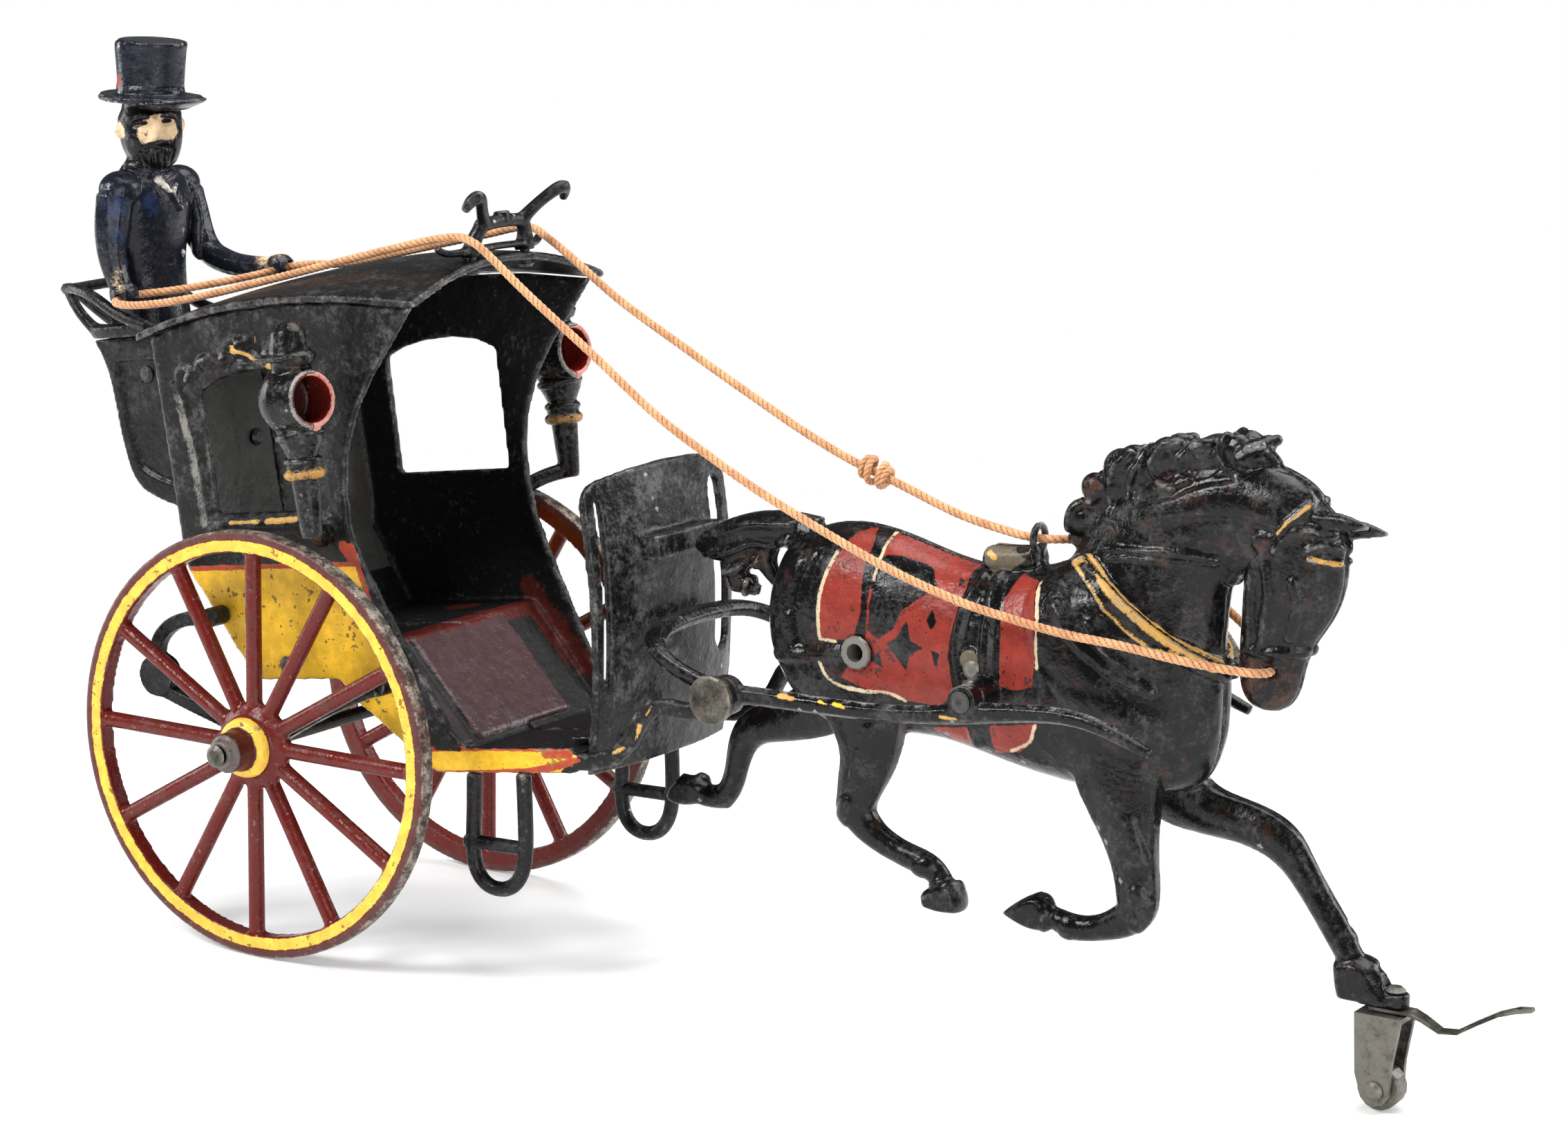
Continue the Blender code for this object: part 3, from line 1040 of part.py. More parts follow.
def horse_forms():
    """Every swelling of the horse as its own closed form, in the standing toy's measure."""
    neck = limb(((184.0, 0.0, 80.0, 20.0, 11.6), (187.5, 0.0, 91.0, 18.6, 11.0),
                 (191.5, 0.0, 101.0, 16.4, 9.4),
                 (197.5, 0.0, 108.6, 13.8, 8.0), (206.0, 0.0, 112.4, 12.2, 7.0),
                 (215.0, 0.0, 112.2, 10.6, 6.6),
                 (222.0, 0.0, 108.6, 8.4, 6.2), (224.5, 0.0, 105.6, 6.0, 5.0)), 1, 14)
    head = limb(((222.0, 0.0, 114.4, 4.0, 4.4), (221.6, 0.0, 110.6, 8.2, 6.4), (220.4, 0.0, 104.0, 10.4, 7.0),
                 (218.6, 0.0, 97.6, 10.2, 6.8), (216.4, 0.0, 91.2, 8.0, 5.4), (215.4, 0.0, 85.4, 7.0, 4.8),
                 (215.2, 0.0, 80.6, 6.6, 4.8), (214.8, 0.0, 77.4, 5.2, 4.4), (214.6, 0.0, 75.8, 3.0, 3.0)), 1,
                 12)
    mane = limb(((173.4, 0.0, 103.0, 2.8, 3.4), (175.6, 0.0, 109.0, 3.2, 3.6), (179.6, 0.0, 113.2, 3.7, 4.0),
                 (185.5, 0.0, 117.6, 4.6, 4.4), (192.5, 0.0, 121.4, 4.7, 4.6), (199.0, 0.0, 122.6, 3.5, 4.6),
                 (205.5, 0.0, 124.0, 4.5, 4.6), (211.0, 0.0, 123.8, 3.8, 4.0), (214.4, 0.0, 121.6, 2.4, 2.8)),
                 1, 8)
    forms = [trunk(), neck, head, mane]
    for side in (-1.0, 1.0):
        drop = FAR_EAR_DROP if side > 0.0 else 0.0
        ear = limb(((223.4, side * 3.4, 113.0 - drop, 2.4, 1.8), (227.6, side * 4.0, 113.8 - drop, 2.3, 1.7),
                    (231.8, side * 4.4, 114.0 - drop, 1.7, 1.3), (236.0, side * 4.6, 113.6 - drop, 0.5, 0.5)),
                    1, 6)
        reach = (side * 11.0, side * (SHAFT_HALF_GAP - SHAFT_HALF_WIDTH - SEAM_GAP))
        tug = post(2.9, *sorted(reach), "Y", (TUG_RIVET[0], 0.0, TUG_RIVET[1]), 12)
        forms += [ear, tug]
    tail = limb(((113.0, 0.0, 96.6, 5.4, 4.0), (105.6, 0.0, 98.6, 4.0, 3.8), (98.6, 0.0, 97.4, 4.2, 4.2),
                 (92.4, 0.0, 94.2, 4.8, 4.2), (87.6, 0.0, 92.8, 3.4, 3.6), (84.9, 0.0, 93.2, 1.8, 2.4)), 1, 8)
    lock = limb(((98.4, 0.0, 95.4, 3.4, 3.0), (93.6, 0.0, 90.0, 3.6, 3.2), (95.0, 0.0, 85.6, 3.0, 2.6),
                 (99.6, 0.0, 84.6, 1.4, 1.4)), 1, 6)
    second_lock = limb(((103.0, 0.0, 96.8, 3.0, 2.6), (100.6, 0.0, 91.0, 2.8, 2.6),
                        (104.2, 0.0, 86.6, 1.4, 1.4)), 1, 6)
    near_hind = limb(((127.0, -6.0, 74.0, 13.0, 6.0), (130.6, -7.0, 64.0, 9.6, 5.6),
                      (131.8, -7.8, 56.4, 6.6, 4.6),
                      (129.8, -8.2, 49.4, 5.4, 3.8), (128.6, -8.4, 43.6, 4.8, 3.4),
                      (133.0, -8.4, 39.8, 3.4, 2.9),
                      (139.6, -8.4, 37.0, 2.7, 2.5), (146.4, -8.4, 35.6, 3.3, 2.9),
                      (149.2, -8.4, 33.0, 2.5, 2.5),
                      (150.2, -8.4, 29.6, 2.8, 2.6)), 1, 8)
    far_hind = limb(((122.0, 6.0, 70.0, 10.0, 6.0), (113.0, 7.0, 61.4, 7.4, 5.4),
                     (103.6, 7.6, 56.4, 5.4, 4.4),
                     (95.0, 8.0, 54.4, 4.6, 3.6), (91.0, 8.0, 50.6, 4.0, 3.2), (89.8, 8.0, 45.0, 2.8, 2.6),
                     (88.8, 8.0, 40.2, 2.9, 2.6), (86.6, 8.0, 37.0, 3.2, 2.8), (82.6, 8.0, 36.8, 2.8, 2.6),
                     (79.0, 8.0, 37.8, 2.8, 2.6), (75.4, 8.0, 38.6, 2.6, 2.4)), 1, 8)
    near_fore = limb(((186.0, -5.0, 66.0, 12.0, 6.4), (187.6, -6.6, 57.0, 9.4, 5.6),
                      (190.4, -7.8, 49.0, 6.2, 4.4),
                      (192.2, -8.2, 41.6, 4.7, 3.7), (193.2, -8.4, 35.2, 5.0, 3.6),
                      (191.2, -8.4, 31.8, 4.3, 3.3),
                      (185.6, -8.4, 29.2, 2.9, 2.6), (180.6, -8.4, 28.2, 2.9, 2.6),
                      (177.6, -8.4, 28.4, 3.1, 2.8),
                      (174.4, -8.4, 29.6, 2.3, 2.4), (170.4, -8.4, 30.2, 2.6, 2.6)), 1, 8)
    far_fore = limb(((188.0, 4.6, 64.0, 10.0, 6.0), (193.0, 5.4, 55.0, 8.0, 5.2),
                     (200.0, 6.0, 51.6, 5.4, 4.4),
                     (208.0, 6.2, 51.0, 4.6, 3.8), (215.4, 6.2, 49.2, 4.6, 3.6), (219.6, 6.0, 45.0, 3.9, 3.2),
                     (224.4, 5.4, 38.4, 3.0, 2.7), (229.8, 4.4, 32.0, 3.3, 2.8), (232.8, 3.8, 27.8, 2.8, 2.7),
                     (236.6, 3.5, 23.4, 4.6, 3.6), (239.6, 3.5, 19.6, 5.2, 3.8)), 1, 8)
    toe = post(2.9, HOOF_SOLE - 1.0, HOOF_SOLE + TOE_THICKNESS, "Z", (HOOF_RIVET[0], HOOF_RIVET[1], 0.0), 16)
    hooves = [hoof(outline, across, half) for outline, across, half in HOOVES]
    return forms + [tail, lock, second_lock, near_hind, far_hind, near_fore, far_fore, toe] + hooves


def terret():
    """The rein ring on the saddle."""
    rings = []
    for step in range(10):
        turn = 2.0 * math.pi * step / 10.0
        outward = Vector((0.0, math.cos(turn), math.sin(turn)))
        centre = Vector((TERRET[0], 0.0, TERRET[1])) + outward * TERRET_RADIUS
        rings.append(oval(centre, outward, Vector((1.0, 0.0, 0.0)), TERRET_WIRE, TERRET_WIRE, 6))
    return loft_loop(rings)


def horse_pad():
    """The saddle pad that carries the terret, and the collar, as raised bands round the horse."""
    pad = limb(((154.0, 0.0, 98.2, 2.6, 4.6), (159.0, 0.0, 98.2, 2.6, 4.6), (165.0, 0.0, 99.2, 2.4, 3.6)), 1,
               12, 3.0)
    collar_low = ((176.6, 101.8, 7.6), (181.6, 98.4, 10.6), (187.6, 94.0, 11.8), (194.2, 89.4, 11.4),
                  (200.4, 85.4, 9.2),
                  (205.0, 82.2, 5.0), (206.8, 81.0, 1.0))
    bands = [pad]
    for side in (-1.0, 1.0):
        path = [(forward, side * across, up) for forward, up, across in collar_low]
        bands.append(rod(path, [1.4, 1.7, 1.8, 1.8, 1.7, 1.6, 1.5], (0.0, 1.0, 0.0), 6, 1))
    return bands


def horse_block():
    """The whole horse as one form, with its rivet holes and the bit's hole, before it is parted."""
    whole = joined(*horse_forms(), terret(), *horse_pad())
    ground = block((215.0, -20.0, HOOF_SOLE - 12.0), (262.0, 30.0, HOOF_SOLE))
    cuts = [ground,
            post(TUG_RIVET_RADIUS + SEAM_GAP, -30.0, -12.0, "Y", (TUG_RIVET[0], 0.0, TUG_RIVET[1]), 10),
            post(TUG_RIVET_RADIUS + SEAM_GAP, 12.0, 30.0, "Y", (TUG_RIVET[0], 0.0, TUG_RIVET[1]), 10),
            post(BODY_RIVET_RADIUS + SEAM_GAP, -30.0, 30.0, "Y", (BODY_RIVET[0], 0.0, BODY_RIVET[1]), 10),
            post(FLANK_HOLE_RADIUS + EYELET_WALL + SEAM_GAP, -30.0, 30.0, "Y",
                 (FLANK_HOLE[0], 0.0, FLANK_HOLE[1]), 16),
            post(CORD_DIAMETER / 2.0 + SEAM_GAP, -12.0, 12.0, "Y", (BIT_HOLE[0], 0.0, BIT_HOLE[1]), 10),
            post(HOOF_RIVET_RADIUS + SEAM_GAP, HOOF_SOLE - 4.0, HOOF_SOLE + 12.0, "Z",
                 (HOOF_RIVET[0], HOOF_RIVET[1], 0.0), 10),
            post(2.6, HOOF_SOLE + TOE_THICKNESS, HOOF_SOLE + 14.0, "Z", (HOOF_RIVET[0], HOOF_RIVET[1], 0.0),
                 12)]
    return cut(whole, *cuts)


def horse_half(whole, side):
    """One cast half of the horse, parted on the middle plane; whole is left as it is."""
    low, high = sorted((side * SEAM_GAP / 2.0, side * 40.0))
    room = block((60.0, low, 5.0), (260.0, high, 150.0))
    return measured(kept(whole.copy(), room))


def shaft_frame():
    """The two shafts, their eyes and the strap behind the horse that joins them."""
    middle = ((84.0, 0.0, 77.6), (84.2, 8.0, 77.4), (85.0, 16.0, 76.8), (88.2, 21.6, 75.0),
              (93.0, 23.4, 72.6),
              (99.0, 23.8, 70.4), (107.0, 23.8, 68.6))
    half_path = smooth(middle, 1)
    near = [(x, -y, z) for x, y, z in reversed(half_path)]
    far = [(x, y, z) for x, y, z in half_path[1:]]
    whole = near + far
    strap = sweep(whole, [(1.9, 2.6 if point[0] < 90.0 else 1.5) for point in whole], (0.0, 0.0, 1.0), 6)
    solids = [strap]
    for side in (-1.0, 1.0):
        run = ((108.0, 1.8, 68.4), (114.0, 1.0, 68.6), (127.0, 0.0, 68.4), (140.0, 0.0, 68.6),
               (152.0, 0.0, 69.8),
               (161.0, 0.0, 71.4), (172.0, 0.0, 73.0), (182.0, 0.0, 74.0), (189.0, 0.0, 73.2),
               (195.0, 0.0, 71.2),
               (201.0, 0.0, 69.0))
        path = [(x, side * (SHAFT_HALF_GAP + out), z) for x, out, z in run]
        size = [(1.7, 2.2), (1.7, 2.1), (1.7, 1.9), (1.7, 1.9), (1.7, 1.9), (1.8, 2.4), (1.7, 1.9),
                (1.7, 1.8),
                (1.6, 1.7), (1.5, 1.6), (1.2, 1.2)]
        solids.append(sweep(path, size, (0.0, 1.0, 0.0), 6))
        eye = (side * (EYE_PLACE - SHAFT_EYE_WIDTH / 2.0), side * (EYE_PLACE + SHAFT_EYE_WIDTH / 2.0))
        boss = (side * (SHAFT_HALF_GAP - SHAFT_HALF_WIDTH), side * (SHAFT_HALF_GAP + SHAFT_HALF_WIDTH))
        solids.append(post(SHAFT_EYE_RADIUS, *sorted(eye), "Y", (DATUM[0], 0.0, DATUM[1]), 16))
        solids.append(post(3.2, *sorted(boss), "Y", (TUG_RIVET[0], 0.0, TUG_RIVET[1]), 16))
    holes = [post(PIN_RADIUS + RUNNING_GAP, -40.0, 40.0, "Y", (DATUM[0], 0.0, DATUM[1]), 16),
             post(TUG_RIVET_RADIUS + SEAM_GAP, -40.0, 40.0, "Y", (TUG_RIVET[0], 0.0, TUG_RIVET[1]), 10)]
    return measured(cut(joined(*solids), *holes))


def tug_rivet(side):
    """The rivet that holds a shaft to the horse's side."""
    outer = SHAFT_HALF_GAP + SHAFT_HALF_WIDTH + SEAM_GAP
    inner = 12.4
    radius = TUG_RIVET_RADIUS
    profile = ((0.0, -outer - 0.9), (1.4, -outer - 0.7), (2.2, -outer), (radius, -outer + 0.02),
               (radius, -inner), (0.0, -inner))
    return on_side(turned(profile, "Y", 12, (TUG_RIVET[0], 0.0, TUG_RIVET[1])), side)


def pivot_pin(side):
    """The disc-headed pin through the arm's eye and the shaft's eye."""
    outer = ARM_PLACE + ARM_WIDTH / 2.0 + SEAM_GAP
    inner = EYE_PLACE - SHAFT_EYE_WIDTH / 2.0 - RUNNING_GAP
    profile = ((0.0, -outer - PIN_HEAD), (PIN_HEAD_RADIUS - 0.5, -outer - PIN_HEAD),
               (PIN_HEAD_RADIUS, -outer - PIN_HEAD + 0.4),
               (PIN_HEAD_RADIUS, -outer), (PIN_RADIUS, -outer), (PIN_RADIUS, -inner),
               (PIN_RADIUS * 1.5, -inner),
               (PIN_RADIUS * 1.3, -inner + 0.8), (0.0, -inner + 1.0))
    return on_side(turned(profile, "Y", 16, (PIVOT[0], 0.0, PIVOT[1])), side)


def eyelet():
    """The hollow rivet through the horse's flanks."""
    edge = FLANK_HALF_WIDTH
    outer = FLANK_HOLE_RADIUS + EYELET_WALL
    flange = outer + 0.8
    profile = ((FLANK_HOLE_RADIUS, -edge - 0.9), (flange - 0.3, -edge - 0.9), (flange, -edge - 0.35),
               (outer, -edge - 0.3),
               (outer, edge + 0.3), (flange, edge + 0.35), (flange - 0.3, edge + 0.9),
               (FLANK_HOLE_RADIUS, edge + 0.9))
    return measured(turned(profile, "Y", 12, (FLANK_HOLE[0], 0.0, FLANK_HOLE[1]), loop=True))


def sole_height():
    """Height of the fore hoof's sole over the ground."""
    return world_pivot()[2] + HOOF_SOLE - DATUM[1]


def clevis():
    """The bent steel fork that holds the small wheel, about the hoof rivet's axis at the sole."""
    top = -SEAM_GAP - TONGUE_THICKNESS - SEAM_GAP
    axle_up = FRONT_WHEEL_RADIUS - sole_height()
    back = -FRONT_TRAIL - CLEVIS_LENGTH / 2.0
    front = -FRONT_TRAIL + CLEVIS_LENGTH / 2.0
    reach = 3.1
    outline = [(back, top), (back + 0.6, axle_up + 3.0)]
    for degrees in (200.0, 235.0, 270.0, 305.0, 340.0):
        turn = math.radians(degrees)
        outline.append((-FRONT_TRAIL + reach * math.cos(turn), axle_up + reach * math.sin(turn)))
    outline += [(front - 1.6, axle_up + 5.0), (front, top)]
    channel = prism(outline, -CLEVIS_HALF_WIDTH, CLEVIS_HALF_WIDTH)
    inside = block((-20.0, -CLEVIS_HALF_WIDTH + CLEVIS_PLATE, axle_up - 12.0),
                   (20.0, CLEVIS_HALF_WIDTH - CLEVIS_PLATE, top - CLEVIS_PLATE))
    rivet_hole = post(HOOF_RIVET_RADIUS + RUNNING_GAP, top - 5.0, top + 5.0, "Z", (0.0, 0.0, 0.0), 12)
    axle_hole = post(WHEEL_RIVET_RADIUS + SEAM_GAP, -10.0, 10.0, "Y", (-FRONT_TRAIL, 0.0, axle_up), 12)
    return cut(channel, inside, rivet_hole, axle_hole)


def tongue():
    """The bent pull tongue between hoof and clevis, with its flattened eye end."""
    level = -SEAM_GAP - TONGUE_THICKNESS / 2.0
    run = ((-4.4, level), (0.0, level), (3.6, level), (6.0, level - 0.8), (9.6, level - 2.6),
           (13.0, level - 2.2), (17.0, level + 0.4),
           (21.0, level + 2.8), (24.6, level + 4.2), (27.6, level + 4.8))
    half = TONGUE_WIDTH / 2.0
    widths = (half, half, half, half * 0.8, half * 0.62, half * 0.55, half * 0.55, half * 0.62, half * 0.9,
              half * 0.5)
    rows = [(x, 0.0, z, width) for (x, z), width in zip(run, widths)]
    rows = smooth_wide(rows, 1)
    strip = sweep([row[:3] for row in rows], [(row[3], TONGUE_THICKNESS / 2.0) for row in rows],
                  (0.0, 1.0, 0.0), 8, 6.0)
    holes = [post(HOOF_RIVET_RADIUS + RUNNING_GAP, -8.0, 8.0, "Z", (0.0, 0.0, 0.0), 12),
             post(0.7, -8.0, 12.0, "Z", (25.0, 0.0, 0.0), 8)]
    return cut(strip, *holes)


def hoof_rivet():
    """The rivet through the toe, the tongue and the clevis."""
    high = TOE_THICKNESS + SEAM_GAP
    low = -SEAM_GAP - TONGUE_THICKNESS - SEAM_GAP - CLEVIS_PLATE - RUNNING_GAP
    radius = HOOF_RIVET_RADIUS
    profile = ((0.0, high + 1.1), (1.3, high + 0.9), (2.1, high + 0.2), (2.1, high), (radius, high),
               (radius, low),
               (radius + 0.7, low), (radius + 0.5, low - 0.7), (0.0, low - 0.8))
    return turned(profile, "Z", 16)


def front_wheel():
    """The small steel wheel about its own centre."""
    half = FRONT_WHEEL_WIDTH / 2.0
    corner = FRONT_WHEEL_RADIUS / math.cos(math.pi / 16.0)
    bore = WHEEL_RIVET_RADIUS + RUNNING_GAP
    return turned(((bore, -half), (corner - 0.3, -half), (corner, -half + 0.3), (corner, half - 0.3),
                   (corner - 0.3, half), (bore, half)),
                  "Y", 16, loop=True)


def wheel_rivet():
    """The small wheel's rivet across the clevis."""
    return rivet(-CLEVIS_HALF_WIDTH, CLEVIS_HALF_WIDTH, "Y",
                 (-FRONT_TRAIL, 0.0, FRONT_WHEEL_RADIUS - sole_height()), WHEEL_RIVET_RADIUS)


def stand_on_origin(root, left_out):
    """Move the whole toy so that the middle of its box stands on the origin; the string doesn't count."""
    depsgraph = bpy.context.evaluated_depsgraph_get()
    corners = []
    for thing in bpy.context.scene.objects:
        if thing.type == "MESH" and thing.name not in left_out:
            shaped = thing.evaluated_get(depsgraph)
            corners += [shaped.matrix_world @ vert.co for vert in shaped.data.vertices]
    low = [min(corner[axis] for corner in corners) for axis in range(3)]
    high = [max(corner[axis] for corner in corners) for axis in range(3)]
    root.location = (-(low[0] + high[0]) / 2.0, -(low[1] + high[1]) / 2.0, -low[2])


def build():
    """Make every piece of the toy."""
    clear_scene()
    black = material("black_enamel", (0.012, 0.012, 0.013), 0.35)
    maroon = material("maroon_enamel", (0.19, 0.016, 0.013), 0.4)
    steel = material("aged_steel", (0.12, 0.115, 0.09), 0.5, 0.8)
    string = material("cotton_string", (0.62, 0.32, 0.14), 0.9)
    root = frame("toy_frame", None, (0.0, 0.0, 0.0))
    cab = frame("cab_frame", root, (0.0, 0.0, WHEEL_RADIUS), CAB_PITCH)
    pivot = frame("shaft_pivot", root, world_pivot())
    horse = horse_block()
    for word, side in (("near", -1), ("far", 1)):
        publish("body_" + word, body_half(side), black, cab)
        publish("step_" + word, step_loop(side), black, cab)
        publish("lamp_" + word, lamp(side), black, cab)
        publish("spring_" + word, spring(side), black, cab)
        publish("pivot_pin_" + word, pivot_pin(side), steel, cab)
        publish("wheel_" + word, wheel(side), maroon, root, (0.0, side * HALF_TRACK, WHEEL_RADIUS))
        publish("guide_rivet_" + word, guide_rivet(side), steel, cab)
        publish("dash_rivet_" + word, dash_rivet(side), steel, cab)
        publish("perch_rivet_" + word, perch_rivet(side), steel, cab)
        publish("horse_" + word, horse_half(horse, side), black, pivot)
        publish("tug_rivet_" + word, measured(tug_rivet(side)), steel, pivot)
    horse.free()
    publish("roof", roof(), black, cab)
    publish("rein_guide", rein_guide(), black, cab)
    publish("dash", dash(), black, cab)
    publish("axle", axle(), steel, cab)
    publish("tie_rod", tie_rod(), steel, cab)
    publish("perch", perch(), black, cab)
    publish("seat_rail", seat_rail(), black, cab)
    publish("driver", driver(), black, cab)
    publish("driver_pin", driver_pin(), steel, cab)
    publish("shaft_frame", shaft_frame(), black, pivot)
    through = rivet(-BODY_HALF_WIDTH, BODY_HALF_WIDTH, "Y", (BODY_RIVET[0], 0.0, BODY_RIVET[1]),
                    BODY_RIVET_RADIUS)
    publish("horse_rivet", measured(through), steel, pivot)
    publish("flank_eyelet", eyelet(), steel, pivot)
    swivel_place = (HOOF_RIVET[0] - DATUM[0], HOOF_RIVET[1], HOOF_SOLE - DATUM[1])
    publish("hoof_rivet", hoof_rivet(), steel, pivot, swivel_place)
    swivel = frame("clevis_swivel", pivot, swivel_place)
    publish("clevis", clevis(), steel, swivel)
    publish("pull_tongue", tongue(), steel, swivel)
    publish("wheel_rivet", wheel_rivet(), steel, swivel)
    publish("front_wheel", front_wheel(), steel, swivel,
            (-FRONT_TRAIL, 0.0, FRONT_WHEEL_RADIUS - sole_height()))
    reins(string, root)
    publish("rein_knot", rein_knot(), string, root)
    bpy.context.view_layer.update()
    stand_on_origin(root, ("reins", "rein_knot"))


build()
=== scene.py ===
"""Looks of a cast iron hansom cab pull toy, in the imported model's frame: metres, +X ahead, near side at -Y."""

import math

import bpy
import numpy as np
from mathutils import Matrix, Vector


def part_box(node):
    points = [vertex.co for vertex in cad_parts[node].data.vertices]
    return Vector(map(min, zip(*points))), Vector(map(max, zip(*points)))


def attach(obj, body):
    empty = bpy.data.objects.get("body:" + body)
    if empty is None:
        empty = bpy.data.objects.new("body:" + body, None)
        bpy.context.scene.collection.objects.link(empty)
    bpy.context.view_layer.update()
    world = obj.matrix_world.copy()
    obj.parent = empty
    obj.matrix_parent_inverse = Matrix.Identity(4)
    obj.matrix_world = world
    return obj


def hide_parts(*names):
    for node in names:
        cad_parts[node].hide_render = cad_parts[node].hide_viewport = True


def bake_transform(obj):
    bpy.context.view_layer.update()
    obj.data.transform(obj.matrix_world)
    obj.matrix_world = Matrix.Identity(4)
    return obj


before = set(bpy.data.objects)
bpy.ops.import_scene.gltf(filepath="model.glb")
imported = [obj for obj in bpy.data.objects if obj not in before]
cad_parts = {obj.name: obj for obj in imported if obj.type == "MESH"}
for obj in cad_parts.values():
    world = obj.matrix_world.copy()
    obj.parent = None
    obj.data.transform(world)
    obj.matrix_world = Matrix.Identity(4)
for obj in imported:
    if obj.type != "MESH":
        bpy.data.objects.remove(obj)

bl_info = {
    "name": "Cast iron cab pull toy",
    "version": (1, 0, 0),
    "blender": (4, 5, 0),
    "location": "View3D > Sidebar > Cab toy",
    "description": "Sand-cast, enamelled pieces of a horse-drawn cab toy",
    "category": "Add Mesh",
}

MM = 0.001
AXLE_FORWARD = 90.588
AXLE_HEIGHT = 46.0
CAB_PITCH = math.radians(8.0)
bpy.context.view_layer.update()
CAB = "cab"
HORSE = "horse"


# Colours and sizes that a user may change

def colour_setting(name, description, value):
    return bpy.props.StringProperty(name=name, description=description, default=value)


def length_setting(name, description, value):
    return bpy.props.FloatProperty(name=name, description=description, default=value, unit="LENGTH",
                                   precision=5)


class CabToyPaint(bpy.types.PropertyGroup):
    """Paint colours as sRGB hex values."""
    black: colour_setting("Black", "Aged black enamel of the castings", "#0d0d0e")
    worn_grey: colour_setting("Worn grey", "Enamel thinned by handling", "#5a5a5a")
    iron: colour_setting("Bare iron", "Rubbed iron on edges", "#8d8b88")
    red: colour_setting("Red", "Harness red on the horse", "#8a3228")
    cream: colour_setting("Cream", "Pinstripes of the harness", "#cdb99a")
    gold: colour_setting("Gold", "Bronze paint on mouldings and collar", "#c79a52")
    yellow: colour_setting("Yellow", "Lower body", "#e8b62c")
    rim_yellow: colour_setting("Rim yellow", "Line round the wheel rims", "#f2c34b")
    maroon: colour_setting("Maroon", "Spokes and rims", "#601a14")
    lamp_red: colour_setting("Lamp red", "Inside of the lamps", "#741810")
    coat: colour_setting("Coat", "Dark blue coat of the driver", "#171a24")
    flesh: colour_setting("Flesh", "Driver's face and hands", "#e3c49c")
    cotton: colour_setting("Cotton", "String reins", "#d99c6a")
    rust: colour_setting("Rust", "Brown patina", "#4c2f23")


class CabToySizes(bpy.types.PropertyGroup):
    """Sizes of what this file adds to the castings."""
    grain: length_setting("Sand grain", "Size of the casting's sand texture", 0.0007)
    body_voxel: length_setting("Body mesh", "Mesh size on the large castings", 0.00065)
    horse_voxel: length_setting("Horse mesh", "Mesh size on the two halves of the horse", 0.00048)
    figure_voxel: length_setting("Figure mesh", "Mesh size on the wheels, dash and perch", 0.00045)
    small_voxel: length_setting("Small mesh", "Mesh size on the driver and the small castings", 0.00035)
    lamp_voxel: length_setting("Lamp mesh", "Mesh size on the lamps", 0.00028)
    cord_diameter: length_setting("String diameter", "Diameter of the twisted string", 0.0018)
    cord_lay: length_setting("String lay", "Length of one turn of the string's plies", 0.0042)


def paint():
    return bpy.context.scene.cab_toy_paint


def sizes():
    return bpy.context.scene.cab_toy_sizes


# Places

def at(x, y, z):
    """A measured place in mm, forward of the axle and above the ground, in the model's metres."""
    return Vector(((x - AXLE_FORWARD) * MM, y * MM, z * MM))


def in_cab(a, y, b):
    """A place in mm along and above the cab's own tilted floor line, in the model's metres."""
    forward = a * math.cos(CAB_PITCH) - b * math.sin(CAB_PITCH)
    up = AXLE_HEIGHT + a * math.sin(CAB_PITCH) + b * math.cos(CAB_PITCH)
    return at(forward, y, up)


def measured_points(piece):
    """The piece's points in measured mm."""
    co = np.zeros(len(piece.data.vertices) * 3)
    piece.data.vertices.foreach_get("co", co)
    co = co.reshape(-1, 3) / MM
    co[:, 0] += AXLE_FORWARD
    return co


def cab_directions(directions):
    """Directions in the model's frame, in the cab's own."""
    ahead, across, up = directions.T
    return np.stack([ahead * math.cos(CAB_PITCH) + up * math.sin(CAB_PITCH), across,
                     up * math.cos(CAB_PITCH) - ahead * math.sin(CAB_PITCH)], axis=1)


def cab_points(piece):
    """The piece's points in the cab's own mm."""
    return cab_directions(measured_points(piece) - np.array((0.0, 0.0, AXLE_HEIGHT)))


def point_normals(piece):
    return np.array([vert.normal for vert in piece.data.vertices], float).reshape(-1, 3)


# Modelling by operators

def deselect():
    if bpy.context.mode != "OBJECT":
        bpy.ops.object.mode_set(mode="OBJECT")
    bpy.ops.object.select_all(action="DESELECT")


def choose(piece):
    deselect()
    piece.select_set(True)
    bpy.context.view_layer.objects.active = piece
    return piece


def edit(piece):
    choose(piece)
    bpy.ops.object.mode_set(mode="EDIT")
    bpy.ops.mesh.select_all(action="SELECT")


def done():
    bpy.ops.object.mode_set(mode="OBJECT")


def settle(piece):
    """Put the piece's place in its mesh."""
    choose(piece)
    bpy.ops.object.transform_apply(location=True, rotation=True, scale=True)
    return piece


def modified(piece, kind, **settings):
    """Add a modifier and apply it."""
    choose(piece)
    modifier = piece.modifiers.new(kind.title(), kind)
    for name, value in settings.items():
        setattr(modifier, name, value)
    bpy.ops.object.modifier_apply(modifier=modifier.name)
    return piece


def smooth_shaded(piece):
    choose(piece)
    bpy.ops.object.shade_smooth()
    return piece


def node_copy(node, name):
    """A merged copy of a CAD node's mesh as a piece of its own."""
    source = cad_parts[node]
    choose(source)
    bpy.ops.object.duplicate()
    piece = bpy.context.active_object
    for key in list(piece.keys()):
        del piece[key]
    piece.parent = None
    piece.name = name
    piece.data.name = name
    piece.data.materials.clear()
    edit(piece)
    bpy.ops.mesh.remove_doubles(threshold=0.000002)
    done()
    return piece


